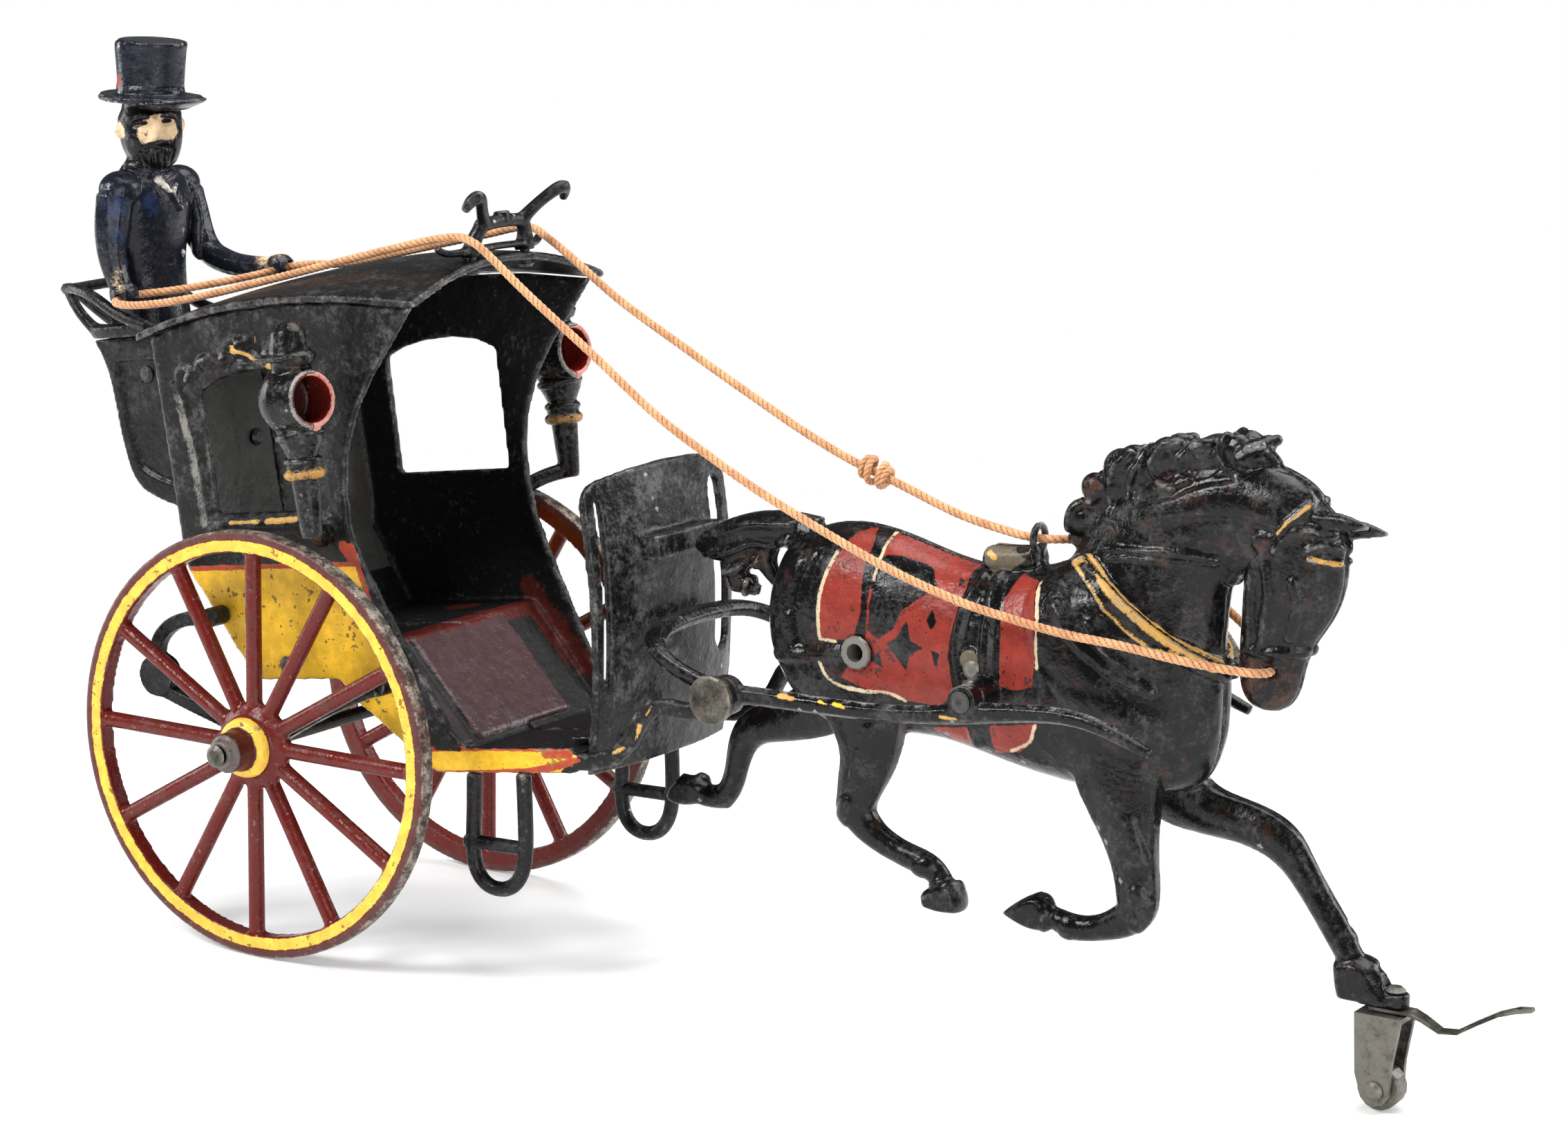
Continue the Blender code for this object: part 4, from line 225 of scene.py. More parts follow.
def rounded(piece, sharp=50.0):
    """Round the copy's facets into smooth curves, keeping its sharp edges."""
    edit(piece)
    bpy.ops.mesh.tris_convert_to_quads(face_threshold=math.radians(40.0), shape_threshold=math.radians(60.0))
    bpy.ops.mesh.select_all(action="DESELECT")
    bpy.ops.mesh.select_mode(type="EDGE")
    bpy.ops.mesh.edges_select_sharp(sharpness=math.radians(sharp))
    bpy.ops.transform.edge_crease(value=1.0)
    bpy.ops.mesh.select_mode(type="VERT")
    done()
    return modified(piece, "SUBSURF", levels=2, render_levels=2)


def ball(place, radii):
    """A round lump at a place in metres, with its radii in mm."""
    deselect()
    bpy.ops.mesh.primitive_uv_sphere_add(segments=24, ring_count=14, radius=MM, location=place, scale=radii)
    return settle(bpy.context.active_object)


def cab_ball(place, radii):
    """A round lump at a place in the cab's own mm."""
    return ball(in_cab(*place), radii)


def join(piece, *others):
    choose(piece)
    for other in others:
        other.select_set(True)
    bpy.ops.object.join()
    return piece


def cast(piece, voxel, rounds):
    """Close the piece up as one casting, with the soft edges that a sand mould gives."""
    modified(piece, "REMESH", mode="VOXEL", voxel_size=voxel, adaptivity=0.0)
    modified(piece, "SMOOTH", factor=0.5, iterations=rounds)
    return smooth_shaded(piece)


def finish_piece(piece, body, material, slot, *nodes):
    """Ride on the body if one is given, stand for the nodes and take the finish."""
    piece.data.materials.clear()
    piece.data.materials.append(material)
    if body:
        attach(piece, body)
    if nodes:
        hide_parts(*nodes)
    return piece


def spun(name, profile, steps, middle, axis, first):
    """A turned piece: the profile's (radius, along) points in mm, spun about an axis through the middle."""
    along = Vector(axis)
    out = Vector(first)
    mesh = bpy.data.meshes.new(name)
    points = [middle + (out * radius + along * place) * MM for radius, place in profile]
    count = len(points)
    mesh.from_pydata(points, [(index, (index + 1) % count) for index in range(count)], [])
    piece = bpy.data.objects.new(name, mesh)
    bpy.context.scene.collection.objects.link(piece)
    edit(piece)
    bpy.ops.mesh.spin(steps=steps, angle=2.0 * math.pi, center=middle, axis=along)
    bpy.ops.mesh.select_all(action="SELECT")
    bpy.ops.mesh.remove_doubles(threshold=0.00001)
    bpy.ops.mesh.select_all(action="SELECT")
    bpy.ops.mesh.normals_make_consistent(inside=False)
    done()
    return piece


# Marks: shapes drawn on a side view, in mm, as distances for relief and paint

def from_line(points, line):
    """Distance in mm from each point to an open line."""
    line = np.array(line, float)
    best = np.full(len(points), 1e9)
    for start, end in zip(line[:-1], line[1:]):
        span = end - start
        share = np.clip(((points - start) @ span) / max(span @ span, 1e-9), 0.0, 1.0)
        best = np.minimum(best, np.linalg.norm(points - start - share[:, None] * span, axis=1))
    return best


def inside_area(points, outline):
    """Distance in mm inside a closed outline, negative outside it."""
    outline = np.array(outline, float)
    closed = np.vstack([outline, outline[:1]])
    away = from_line(points, closed)
    inside = np.zeros(len(points), bool)
    for (x0, y0), (x1, y1) in zip(closed[:-1], closed[1:]):
        crosses = (points[:, 1] < y0) != (points[:, 1] < y1)
        rise = y1 - y0 if abs(y1 - y0) > 1e-9 else 1e-9
        inside ^= crosses & (points[:, 0] < x0 + (points[:, 1] - y0) * (x1 - x0) / rise)
    return np.where(inside, away, -away)


def in_stroke(points, line, half_width):
    """Distance in mm inside the edge of a stroke along the line."""
    return half_width - from_line(points, line)


def in_dot(points, place, radius):
    """Distance in mm inside the edge of a round spot."""
    return radius - np.linalg.norm(points - np.array(place, float), axis=1)


def strokes(points, lines):
    """Distance in mm inside the nearest of the lines, each with its half width."""
    return most(*(in_stroke(points, line, half) for line, half in lines))


def smooth_strokes(points, lines):
    return strokes(points, [(flowing(line), half) for line, half in lines])


def dots(points, places):
    """Distance in mm inside the nearest of the round spots, each with its radius."""
    return most(*(in_dot(points, place, radius) for place, radius in places))


def areas(points, outlines):
    """Distance in mm inside the edge of the outline that holds the point, or of the nearest."""
    return most(*(inside_area(points, outline) for outline in outlines))


def flowing(line, steps=8):
    """A smooth line (Catmull-Rom) through drawn points, with so many steps between two of them."""
    points = np.array(line, float)
    padded = np.vstack([2 * points[0] - points[1], points, 2 * points[-1] - points[-2]])
    run = []
    for index in range(1, len(padded) - 2):
        before, start, end, after = padded[index - 1:index + 3]
        for t in np.linspace(0.0, 1.0, steps, endpoint=False):
            square = 2 * before - 5 * start + 4 * end - after
            cube = 3 * start - before - 3 * end + after
            run.append(0.5 * (2 * start + (end - before) * t + square * t ** 2 + cube * t ** 3))
    run.append(points[-1])
    return np.array(run)


def relief(flat, drawn):
    """Heights in mm of drawn lines (line, half width, lift): ridges, or grooves where the lift is negative."""
    up, down = np.zeros(len(flat)), np.zeros(len(flat))
    for line, half, lift in drawn:
        dome = abs(lift) * round_step(in_stroke(flat, flowing(line), half), half)
        if lift > 0.0:
            up = np.maximum(up, dome)
        else:
            down = np.maximum(down, dome)
    return up - down


def most(*fields):
    return np.maximum.reduce(fields)


def only(field, where):
    """The field where the condition holds, and well outside it elsewhere."""
    return np.where(where, field, -4.0)


def mark(piece, name, field):
    """Keep a paint zone on the piece's points, as mm inside its edge."""
    attribute = piece.data.attributes.get(name) or piece.data.attributes.new(name, "FLOAT", "POINT")
    attribute.data.foreach_set("value", np.clip(field, -4.0, 4.0).astype(np.float32))


def round_step(field, run):
    """0 outside, 1 from run mm inside, with a rounded shoulder."""
    share = np.clip(field / run, 0.0, 1.0)
    return np.sqrt(1.0 - (1.0 - share) ** 2)


def raise_relief(piece, heights, directions=None):
    """Push the piece's points by heights in mm, along their normals or else one direction or one each."""
    normals = point_normals(piece) if directions is None else np.array(directions, float)
    co = np.zeros(len(piece.data.vertices) * 3)
    piece.data.vertices.foreach_get("co", co)
    co = co.reshape(-1, 3) + normals * (heights * MM)[:, None]
    piece.data.vertices.foreach_set("co", co.ravel())
    piece.data.update()


# Materials

EDGE_SOFTNESS = 0.12
EDGE_WANDER = 1.2


def linear(hex_colour):
    """sRGB hex to linear RGBA."""
    parts = np.array([int(hex_colour[place:place + 2], 16) for place in (1, 3, 5)]) / 255.0
    return (*np.where(parts <= 0.04045, parts / 12.92, ((parts + 0.055) / 1.055) ** 2.4), 1.0)


def node(tree, kind, settings=None, **links):
    """Add a shader node with its settings and inputs; an input is a value or another node's socket."""
    made = tree.nodes.new(kind)
    for name, value in (settings or {}).items():
        setattr(made, name, value)
    for name, value in links.items():
        key = int(name[2:]) if name.startswith("in") and name[2:].isdigit() else name.replace("_", " ")
        socket = made.inputs[key]
        if isinstance(value, bpy.types.NodeSocket):
            tree.links.new(value, socket)
        else:
            socket.default_value = value
    return made


def fresh_material(name):
    material = bpy.data.materials.new(name)
    material.use_nodes = True
    material.node_tree.nodes.clear()
    tree = material.node_tree
    shader = node(tree, "ShaderNodeBsdfPrincipled")
    node(tree, "ShaderNodeOutputMaterial", Surface=shader.outputs[0])
    return material, tree, shader


def noise_at(tree, millimetres, detail=4.0, roughness=0.55, distortion=0.0):
    """Noise whose features are about so many mm across, on the piece's own points."""
    place = node(tree, "ShaderNodeTexCoord").outputs["Object"]
    return node(tree, "ShaderNodeTexNoise", Vector=place, Scale=1.0 / (millimetres * MM), Detail=detail,
                Roughness=roughness, Distortion=distortion).outputs["Fac"]


def ramp(tree, value, low, high, start=0.0, end=1.0):
    """A soft step of a value from low to high."""
    return node(tree, "ShaderNodeMapRange", {"interpolation_type": "SMOOTHSTEP"}, Value=value,
                in1=low, in2=high, in3=start, in4=end).outputs[0]


def reckoned(tree, operation, first, second):
    return node(tree, "ShaderNodeMath", {"operation": operation}, in0=first, in1=second).outputs[0]


def plus(tree, first, second):
    return reckoned(tree, "ADD", first, second)


def minus(tree, first, second):
    return reckoned(tree, "SUBTRACT", first, second)


def times(tree, first, second):
    return reckoned(tree, "MULTIPLY", first, second)


def blend(tree, share, first, second):
    """Mix two colours; a colour is a socket or a hex value."""
    first = linear(first) if isinstance(first, str) else first
    second = linear(second) if isinstance(second, str) else second
    return node(tree, "ShaderNodeMix", {"data_type": "RGBA"}, in0=share, in6=first, in7=second).outputs[2]


def zone(tree, name, ragged):
    """A painted zone's cover from 0 to 1; its edge wanders by noise, as a brush leaves it."""
    field = node(tree, "ShaderNodeAttribute", {"attribute_name": name}).outputs["Fac"]
    wander = times(tree, minus(tree, ragged, 0.5), EDGE_WANDER)
    return ramp(tree, plus(tree, field, wander), -EDGE_SOFTNESS, EDGE_SOFTNESS)


def worn_edges(tree):
    """Where handling has rubbed the paint: the mesh's sharp edges, broken up by noise."""
    sharp = node(tree, "ShaderNodeNewGeometry").outputs["Pointiness"]
    patchy = times(tree, minus(tree, noise_at(tree, 3.5), 0.5), 0.16)
    fine = times(tree, minus(tree, noise_at(tree, 0.7), 0.5), 0.08)
    return ramp(tree, plus(tree, sharp, plus(tree, patchy, fine)), 0.53, 0.62)


def enamelled(name, base, zones=(), wear=1.0, gloss=0.34, lift=0.35, rust=0.12, chip=0.0):
    """Brushed enamel on sand-cast iron: thick dark paint that took the sand's grain, glossy where it is sound,
    grey where it is thin. Zones are (attribute, colour, roughness), painted over it in order."""
    material, tree, shader = fresh_material(name)
    broad = noise_at(tree, 9.0, 3.0)
    patch = noise_at(tree, 2.6, 5.0, 0.62)
    fine = noise_at(tree, 0.55, 3.0)
    ragged = plus(tree, times(tree, patch, 0.65), times(tree, fine, 0.35))
    speckle = noise_at(tree, 0.9, 4.0, 0.7)
    mottle = plus(tree, times(tree, plus(tree, broad, patch), 0.32), times(tree, speckle, 0.36))
    thin = times(tree, ramp(tree, mottle, 0.48, 0.64), lift)
    colour = blend(tree, thin, base, paint().worn_grey)
    rusty = times(tree, ramp(tree, noise_at(tree, 5.0, 4.0, 0.6, 0.4), 0.56, 0.7), rust)
    colour = blend(tree, rusty, colour, paint().rust)
    rough = ramp(tree, mottle, 0.4, 0.62, gloss * 0.75, gloss + 0.2)
    shader.inputs["Specular IOR Level"].default_value = 0.25
    for attribute, tint, shine in zones:
        cover = zone(tree, attribute, ragged)
        shade = ramp(tree, patch, 0.35, 0.7, 0.82, 1.12)
        painted = node(tree, "ShaderNodeHueSaturation", Value=shade, Color=linear(tint)).outputs[0]
        flakes = ramp(tree, plus(tree, times(tree, noise_at(tree, 1.3, 4.0, 0.65), 0.7),
                                 times(tree, broad, 0.3)), 0.575, 0.6)
        cover = times(tree, cover, minus(tree, 1.0, times(tree, flakes, 0.8)))
        colour = blend(tree, cover, colour, painted)
        rough = node(tree, "ShaderNodeMix", {"data_type": "FLOAT"}, in0=cover, in2=rough,
                     in3=shine).outputs[0]
    bare = times(tree, worn_edges(tree), wear)
    if chip:
        spots = ramp(tree, noise_at(tree, 1.1, 3.0, 0.7), 0.66, 0.69)
        bare = reckoned(tree, "MAXIMUM", bare, times(tree, spots, chip))
    colour = blend(tree, bare, colour, paint().iron)
    tree.links.new(colour, shader.inputs["Base Color"])
    tree.links.new(times(tree, bare, 0.75), shader.inputs["Metallic"])
    rough = node(tree, "ShaderNodeMix", {"data_type": "FLOAT"}, in0=bare, in2=rough, in3=0.38).outputs[0]
    tree.links.new(rough, shader.inputs["Roughness"])
    grain = noise_at(tree, sizes().grain / MM, 3.0)
    pitted = plus(tree, times(tree, grain, 0.4), times(tree, patch, 0.6))
    lumpy = node(tree, "ShaderNodeBump", Height=broad, Distance=0.0012, Strength=0.55)
    bump = node(tree, "ShaderNodeBump", Height=pitted, Distance=0.0003, Strength=0.7, Normal=lumpy.outputs[0])
    tree.links.new(bump.outputs[0], shader.inputs["Normal"])
    return material


def aged_steel():
    """Wrought steel pins and clevis, dulled grey-olive with age: brown in the pits, brighter on its edges."""
    material, tree, shader = fresh_material("aged steel, dulled")
    patch = noise_at(tree, 1.6, 5.0, 0.65)
    colour = blend(tree, ramp(tree, patch, 0.35, 0.65), "#24221e", "#413e37")
    colour = blend(tree, times(tree, ramp(tree, noise_at(tree, 2.8, 4.0), 0.55, 0.7), 0.7), colour,
                   paint().rust)
    colour = blend(tree, times(tree, worn_edges(tree), 0.5), colour, "#97948b")
    tree.links.new(colour, shader.inputs["Base Color"])
    shader.inputs["Metallic"].default_value = 0.8
    tree.links.new(ramp(tree, patch, 0.3, 0.7, 0.35, 0.6), shader.inputs["Roughness"])
    bump = node(tree, "ShaderNodeBump", Height=noise_at(tree, 0.5, 4.0), Distance=0.00008, Strength=0.6)
    tree.links.new(bump.outputs[0], shader.inputs["Normal"])
    return material


def cotton():
    """Twisted cotton string, tea brown with age: matt, with painted shade as dark lines between its plies, and
    soft fuzz.
    """
    material, tree, shader = fresh_material("twisted cotton string")
    groove = node(tree, "ShaderNodeAttribute", {"attribute_name": "ply"}).outputs["Fac"]
    patch = noise_at(tree, 4.0, 4.0)
    fine = noise_at(tree, 0.35, 3.0)
    colour = blend(tree, ramp(tree, patch, 0.35, 0.65), "#b97a4c", paint().cotton)
    colour = blend(tree, times(tree, ramp(tree, fine, 0.4, 0.7), 0.5), colour, "#efc79b")
    # Painted shade: the grooves between the plies are darkened.
    colour = blend(tree, times(tree, ramp(tree, groove, 0.62, 0.05), 0.95), colour, "#5c3219")
    tree.links.new(colour, shader.inputs["Base Color"])
    shader.inputs["Roughness"].default_value = 0.9
    shader.inputs["Sheen Weight"].default_value = 0.25
    bump = node(tree, "ShaderNodeBump", Height=fine, Distance=0.00008, Strength=0.5)
    tree.links.new(bump.outputs[0], shader.inputs["Normal"])
    return material


FINISHES = {}


def finish_of(name, maker, *words, **settings):
    """Each finish is made once."""
    if name not in FINISHES:
        FINISHES[name] = maker(*words, **settings)
    return FINISHES[name]


def black_enamel():
    return finish_of("black", enamelled, "black enamel on sand-cast iron", paint().black)


def steel():
    return finish_of("steel", aged_steel)


# Camera: the photograph's place and angle

CAMERA_PLACE = (0.427812, -0.6613, 0.2444)
CAMERA_AZIMUTH = 31.98
CAMERA_ELEVATION = 11.15
CAMERA_ROLL = 0.88
SENSOR_WIDTH = 36.0
FOCAL_PIXELS = 5620.0
IMAGE_WIDTH = 2268.0


class CABTOY_OT_camera(bpy.types.Operator):
    """Set the camera where the photograph was taken from"""
    bl_idname = "cab_toy.camera"
    bl_label = "Camera"

    def execute(self, context):
        turn, lift = math.radians(CAMERA_AZIMUTH), math.radians(CAMERA_ELEVATION)
        roll = math.radians(CAMERA_ROLL)
        ahead = Vector((-math.sin(turn) * math.cos(lift), math.cos(turn) * math.cos(lift), -math.sin(lift)))
        level = Vector((math.cos(turn), math.sin(turn), 0.0))
        up = level.cross(ahead)
        right = math.cos(roll) * level + math.sin(roll) * up
        top = math.cos(roll) * up - math.sin(roll) * level
        data = bpy.data.cameras.new("camera")
        data.sensor_width = SENSOR_WIDTH
        data.lens = FOCAL_PIXELS * SENSOR_WIDTH / IMAGE_WIDTH
        data.clip_start = 0.01
        data.clip_end = 20.0
        camera = bpy.data.objects.new("camera", data)
        context.scene.collection.objects.link(camera)
        turned = Matrix((right, top, -ahead)).transposed()
        camera.matrix_world = Matrix.Translation(CAMERA_PLACE) @ turned.to_4x4()
        context.scene.camera = camera
        return {"FINISHED"}


# Reins

REIN_ROUTE = (
    (216.8, -0.4, 83.8), (216.8, -3, 83.8), (216.6, -5.8, 83.8), (214.4, -8.6, 84.1), (209.6, -11.2, 84.8),
    (202, -14.8, 86.2), (191.4, -17.4, 88), (180, -17.9, 88.8), (168, -18, 90.4), (156, -18.1, 92.6),
    (138.4, -18.3, 97.9), (114, -18.1, 107.6), (98.5, -17.9, 115), (85.3, -17.6, 122.1), (70.2, -17.3, 132.4),
    (53, -16.9, 143.8), (42.5, -16.8, 151.4), (38.5, -16.6, 153.5), (34.6, -16.5, 154.2), (27.4, -16.6, 153),
    (16.9, -17.1, 150.3), (6.2, -17.6, 147.4), (-4.7, -18, 144.3), (-16.6, -18.4, 141), (-30, -18.6, 137.4),
    (-41.4, -18.8, 134.8), (-51.6, -18.8, 133.2), (-58.4, -17.4, 133), (-60.2, -13.2, 133.6),
    (-58.2, -9, 134.2), (-52, -4.6, 135.2), (-44, 1.6, 137), (-38.4, 7.6, 138.6), (-34.6, 12.2, 140),
    (-29, 13.6, 141), (-19.6, 14.6, 141.8), (-6, 14.8, 144.9), (5.8, 14.9, 147.8), (19, 15.4, 151),
    (26, 15.8, 152.8), (30.4, 15.9, 153.2), (34.4, 14.8, 152), (42.4, 12.4, 148.6), (57, 10.8, 140.1),
    (76.3, 8.6, 131.1), (95.1, 6.2, 122.8), (107.9, 4.6, 117.4), (119.4, 3.2, 113.3), (130.7, 2, 110.1),
    (146, 0.6, 105.6), (158.4, 0, 103.4), (163, 0, 103), (166, 0.3, 102.9), (169.4, 3.2, 102.8),
    (173, 9, 102.2), (178, 14.2, 99.8), (186, 17.4, 96), (194, 17.4, 92), (202.6, 14.6, 87.6),
    (209.6, 11.2, 85), (214.4, 8.6, 84.1), (216.6, 5.8, 83.8), (216.8, 3, 83.8), (216.8, 0.4, 83.8))
STRING_PLIES = 3
STRING_STEP = 0.45
KNOT_RUN = (11.5, -1.4, -4.1)
KNOT_TURNS = 3.6
KNOT_REACH = 3.0
KNOT_STRING = 1.5
KNOT_LAY = 3.0


def reach_along(line):
    """Distance in mm along the line at each of its points."""
    return np.concatenate([[0.0], np.cumsum(np.linalg.norm(np.diff(line, axis=0), axis=1))])


def smooth_route(points, step):
    """A smooth line through the points, cut into equal short steps, and its length, all in mm."""
    run = flowing(points, 24)
    reach = reach_along(run)
    places = np.linspace(0.0, reach[-1], int(reach[-1] / step) + 1)
    return np.stack([np.interp(places, reach, run[:, axis]) for axis in range(3)], axis=1), reach[-1]


def string_tube(name, line, diameter, lay, sides=18):
    """A twisted string round a line in mm: its section has one lobe for each ply and turns once a lay."""
    count = len(line)
    ahead = np.gradient(line, axis=0)
    ahead /= np.linalg.norm(ahead, axis=1)[:, None]
    side = np.cross(ahead[0], (0.0, 0.0, 1.0))
    side /= np.linalg.norm(side)
    reach = reach_along(line)
    points, groove = [], []
    for index in range(count):
        side = side - ahead[index] * (side @ ahead[index])
        side /= np.linalg.norm(side)
        up = np.cross(ahead[index], side)
        twist = 2.0 * math.pi * reach[index] / lay
        for turn in range(sides):
            angle = 2.0 * math.pi * turn / sides
            lobe = abs(math.cos((angle - twist) * STRING_PLIES / 2.0))
            radius = diameter / 2.0 * (0.74 + 0.26 * lobe ** 0.6)
            points.append(line[index] + radius * (math.cos(angle) * side + math.sin(angle) * up))
            groove.append(lobe)
    points += [line[0], line[-1]]
    groove += [1.0, 1.0]
    faces = []
    for index in range(count - 1):
        for turn in range(sides):
            after = (turn + 1) % sides
            faces.append((index * sides + turn, index * sides + after,
                          (index + 1) * sides + after, (index + 1) * sides + turn))
    last = (count - 1) * sides
    for turn in range(sides):
        after = (turn + 1) % sides
        faces.append((count * sides, after, turn))
        faces.append((count * sides + 1, last + turn, last + after))
    mesh = bpy.data.meshes.new(name)
    mesh.from_pydata([at(*point) for point in points], [], faces)
    piece = bpy.data.objects.new(name, mesh)
    bpy.context.scene.collection.objects.link(piece)
    # The ply lobes, by which the string's finish paints shade between the plies.
    mark(piece, "ply", np.array(groove))
    edit(piece)
    bpy.ops.mesh.normals_make_consistent(inside=False)
    done()
    return smooth_shaded(piece)


def give_with_horse(piece):
    """Bake the string's place into its mesh."""
    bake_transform(piece)


class CABTOY_OT_reins(bpy.types.Operator):
    """Make the string reins and their knot"""
    bl_idname = "cab_toy.reins"
    bl_label = "Reins"

    def execute(self, context):
        diameter = sizes().cord_diameter / MM
        line, length = smooth_route(REIN_ROUTE, STRING_STEP)
        reins = string_tube("string_reins", line, diameter, sizes().cord_lay / MM)
        give_with_horse(reins)
        finish_piece(reins, None, finish_of("cotton", cotton), "cotton_string", "reins")
        knot = self.knot()
        return {"FINISHED"}

    def knot(self):
        """String pulled tight round the rein in two lumps."""
        low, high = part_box("rein_knot")
        middle = (low + high) / 2.0
        centre = np.array((middle.x / MM + AXLE_FORWARD, middle.y / MM, middle.z / MM))
        half = np.array((high - low)) / 2.0 / MM
        run = Vector(KNOT_RUN).normalized()
        across = Vector((0.0, 1.0, 0.0))
        up = run.cross(across).normalized()
        points = []
        for share in np.linspace(0.0, 1.0, 220):
            angle = 2.0 * math.pi * KNOT_TURNS * share
            radius = float(half.min()) - 0.8 - 0.3 * math.cos(2.0 * math.pi * share)
            out = across * math.cos(angle) + up * math.sin(angle)
            place = run * (KNOT_REACH * math.tanh(4.0 * (share - 0.5))) + out * radius
            points.append(centre + np.array(place))
        knot = string_tube("string_knot", np.array(points), KNOT_STRING, KNOT_LAY, 14)
        give_with_horse(knot)
        return finish_piece(knot, None, finish_of("cotton", cotton), "cotton_string", "rein_knot")


# Cab

SIDE_MOULDINGS = (  # lines on the cab's side in its own mm, with half width and height
    ([(-18.3, 77.4), (-15.8, 73.4), (-13.4, 60.0), (-12.5, 46.8)], 0.5, 0.5),
    ([(-14.8, 75.4), (-8.4, 78.4), (2.0, 79.6), (12.0, 78.8), (18.0, 76.6)], 0.6, 0.6),
    ([(-16.6, 77.0), (-16.2, 79.2), (-14.2, 80.2), (-12.6, 79.0), (-13.4, 77.4)], 0.8, 0.9),
    ([(-11.2, 79.6), (-9.6, 81.6), (-7.4, 81.8), (-6.4, 80.2), (-7.8, 79.2)], 0.8, 0.9),
    ([(-4.6, 80.0), (-2.6, 82.2), (-0.2, 82.0), (0.4, 80.4)], 0.7, 0.8),
    ([(-2.0, 84.4), (0.4, 85.6), (2.0, 84.4)], 0.8, 1.0),
    ([(0.2, 83.4), (3.2, 82.6), (6.4, 80.6), (9.9, 79.0)], 1.0, 1.1),
    ([(8.5, 82.0), (13.0, 82.6), (17.4, 83.0)], 0.7, 0.7))
LOWER_YELLOW = [(-40, 37.2), (25.2, 37.2), (27.2, 30), (28.6, 20), (30.0, 12), (33.0, 4), (36.4, -3.4),
                (72.0, -3.0), (74.0, -4.6), (70.0, -12), (30, -14), (-40, 11)]
RED_EDGES = (([(-26, 36.7), (25.0, 36.7)], 0.55),
             ([(25.0, 40.5), (26.4, 33), (28.0, 24), (29.2, 14), (33.0, 4), (36.4, -3.6)], 0.7),
             ([(36.0, -3.4), (52, -3.2), (60, -3.4), (72, -3.2)], 0.55),
             ([(34, -9.0), (50, -8.8), (62, -8.2), (74, -6.0)], 0.85), ([(66.0, -4.4), (72.0, -4.4)], 0.9),
             ([(22.8, 40.6), (24.4, 38.4)], 1.3), ([(-21.6, 30.0), (-21.0, 18.0)], 0.6))
# place, radius, shoulder and height
SIDE_KNOBS = (((1.4, 79.8), 1.3, 1.0, 1.0), ((9.9, 79.0), 1.6, 1.2, 1.1))
JAMB = [(-17.2, 74.0), (-15.2, 60.0), (-14.2, 47.0)]
RED_WALL_PATCH = [(24.0, 22.0), (32.0, 12.0), (38.0, 5.0), (50.0, -2.0)]
RED_SEAT_SPOT = (10.0, 22.0, 19.0)
BLACK_DABS = (([(38, -3.0), (44, -3.4)], 0.6), ([(55, -3.0), (60, -2.8)], 0.5),
              ([(70.0, -8.2), (76, -6.2)], 0.7))
GOLD_CHIPS = (([(89.2, -1.4), (90.4, 1.6)], 0.5), ([(92.2, 3.6), (93.8, 5.4)], 0.4),
              ([(83.0, -4.2), (86.0, -3.0)], 0.4), ([(-6, 46.6), (2, 46.6)], 0.45),
              ([(4, 46.6), (12, 46.8)], 0.7), ([(16.5, 44.4), (18, 46.4)], 0.9),
              ([(6.5, 90), (5.8, 84)], 0.14), ([(0.6, 83.3), (3.2, 82.6), (6.4, 80.6)], 0.5),
              ([(9.9, 79.0), (10.3, 78.8)], 1.3), ([(-0.2, 83.4), (0.6, 83.2)], 1.0),
              ([(-8, 43.4), (-6.8, 43.2)], 0.5), ([(3, 42.6), (4, 42.8)], 0.4))
BOARD_LINE = ((24.9, 19.0), (42.2, -4.6))
BOARD_MIDDLE = (14.2, -1.4, 0.1)  # along the board, across the cab and above the board, in mm
BOARD_SIZE = (26.8, 32.8, 1.5)
SLAT_MIDDLE = (14.5, -23.2)
SLAT_SIZE = (28.2, 6.8)
SLAT_LIFT = 0.7


def board_axes():
    """The kick-board's start, and the ways along it and square to it, on the cab's side view."""
    start, end = np.array(BOARD_LINE)
    along = (end - start) / np.linalg.norm(end - start)
    return start, along, np.array((-along[1], along[0]))


def inside_oblong(places, middle, size):
    """Distance in mm inside an oblong's nearest edge."""
    return np.minimum.reduce([size[axis] / 2.0 - np.abs(places[axis] - middle[axis]) for axis in (0, 1)])


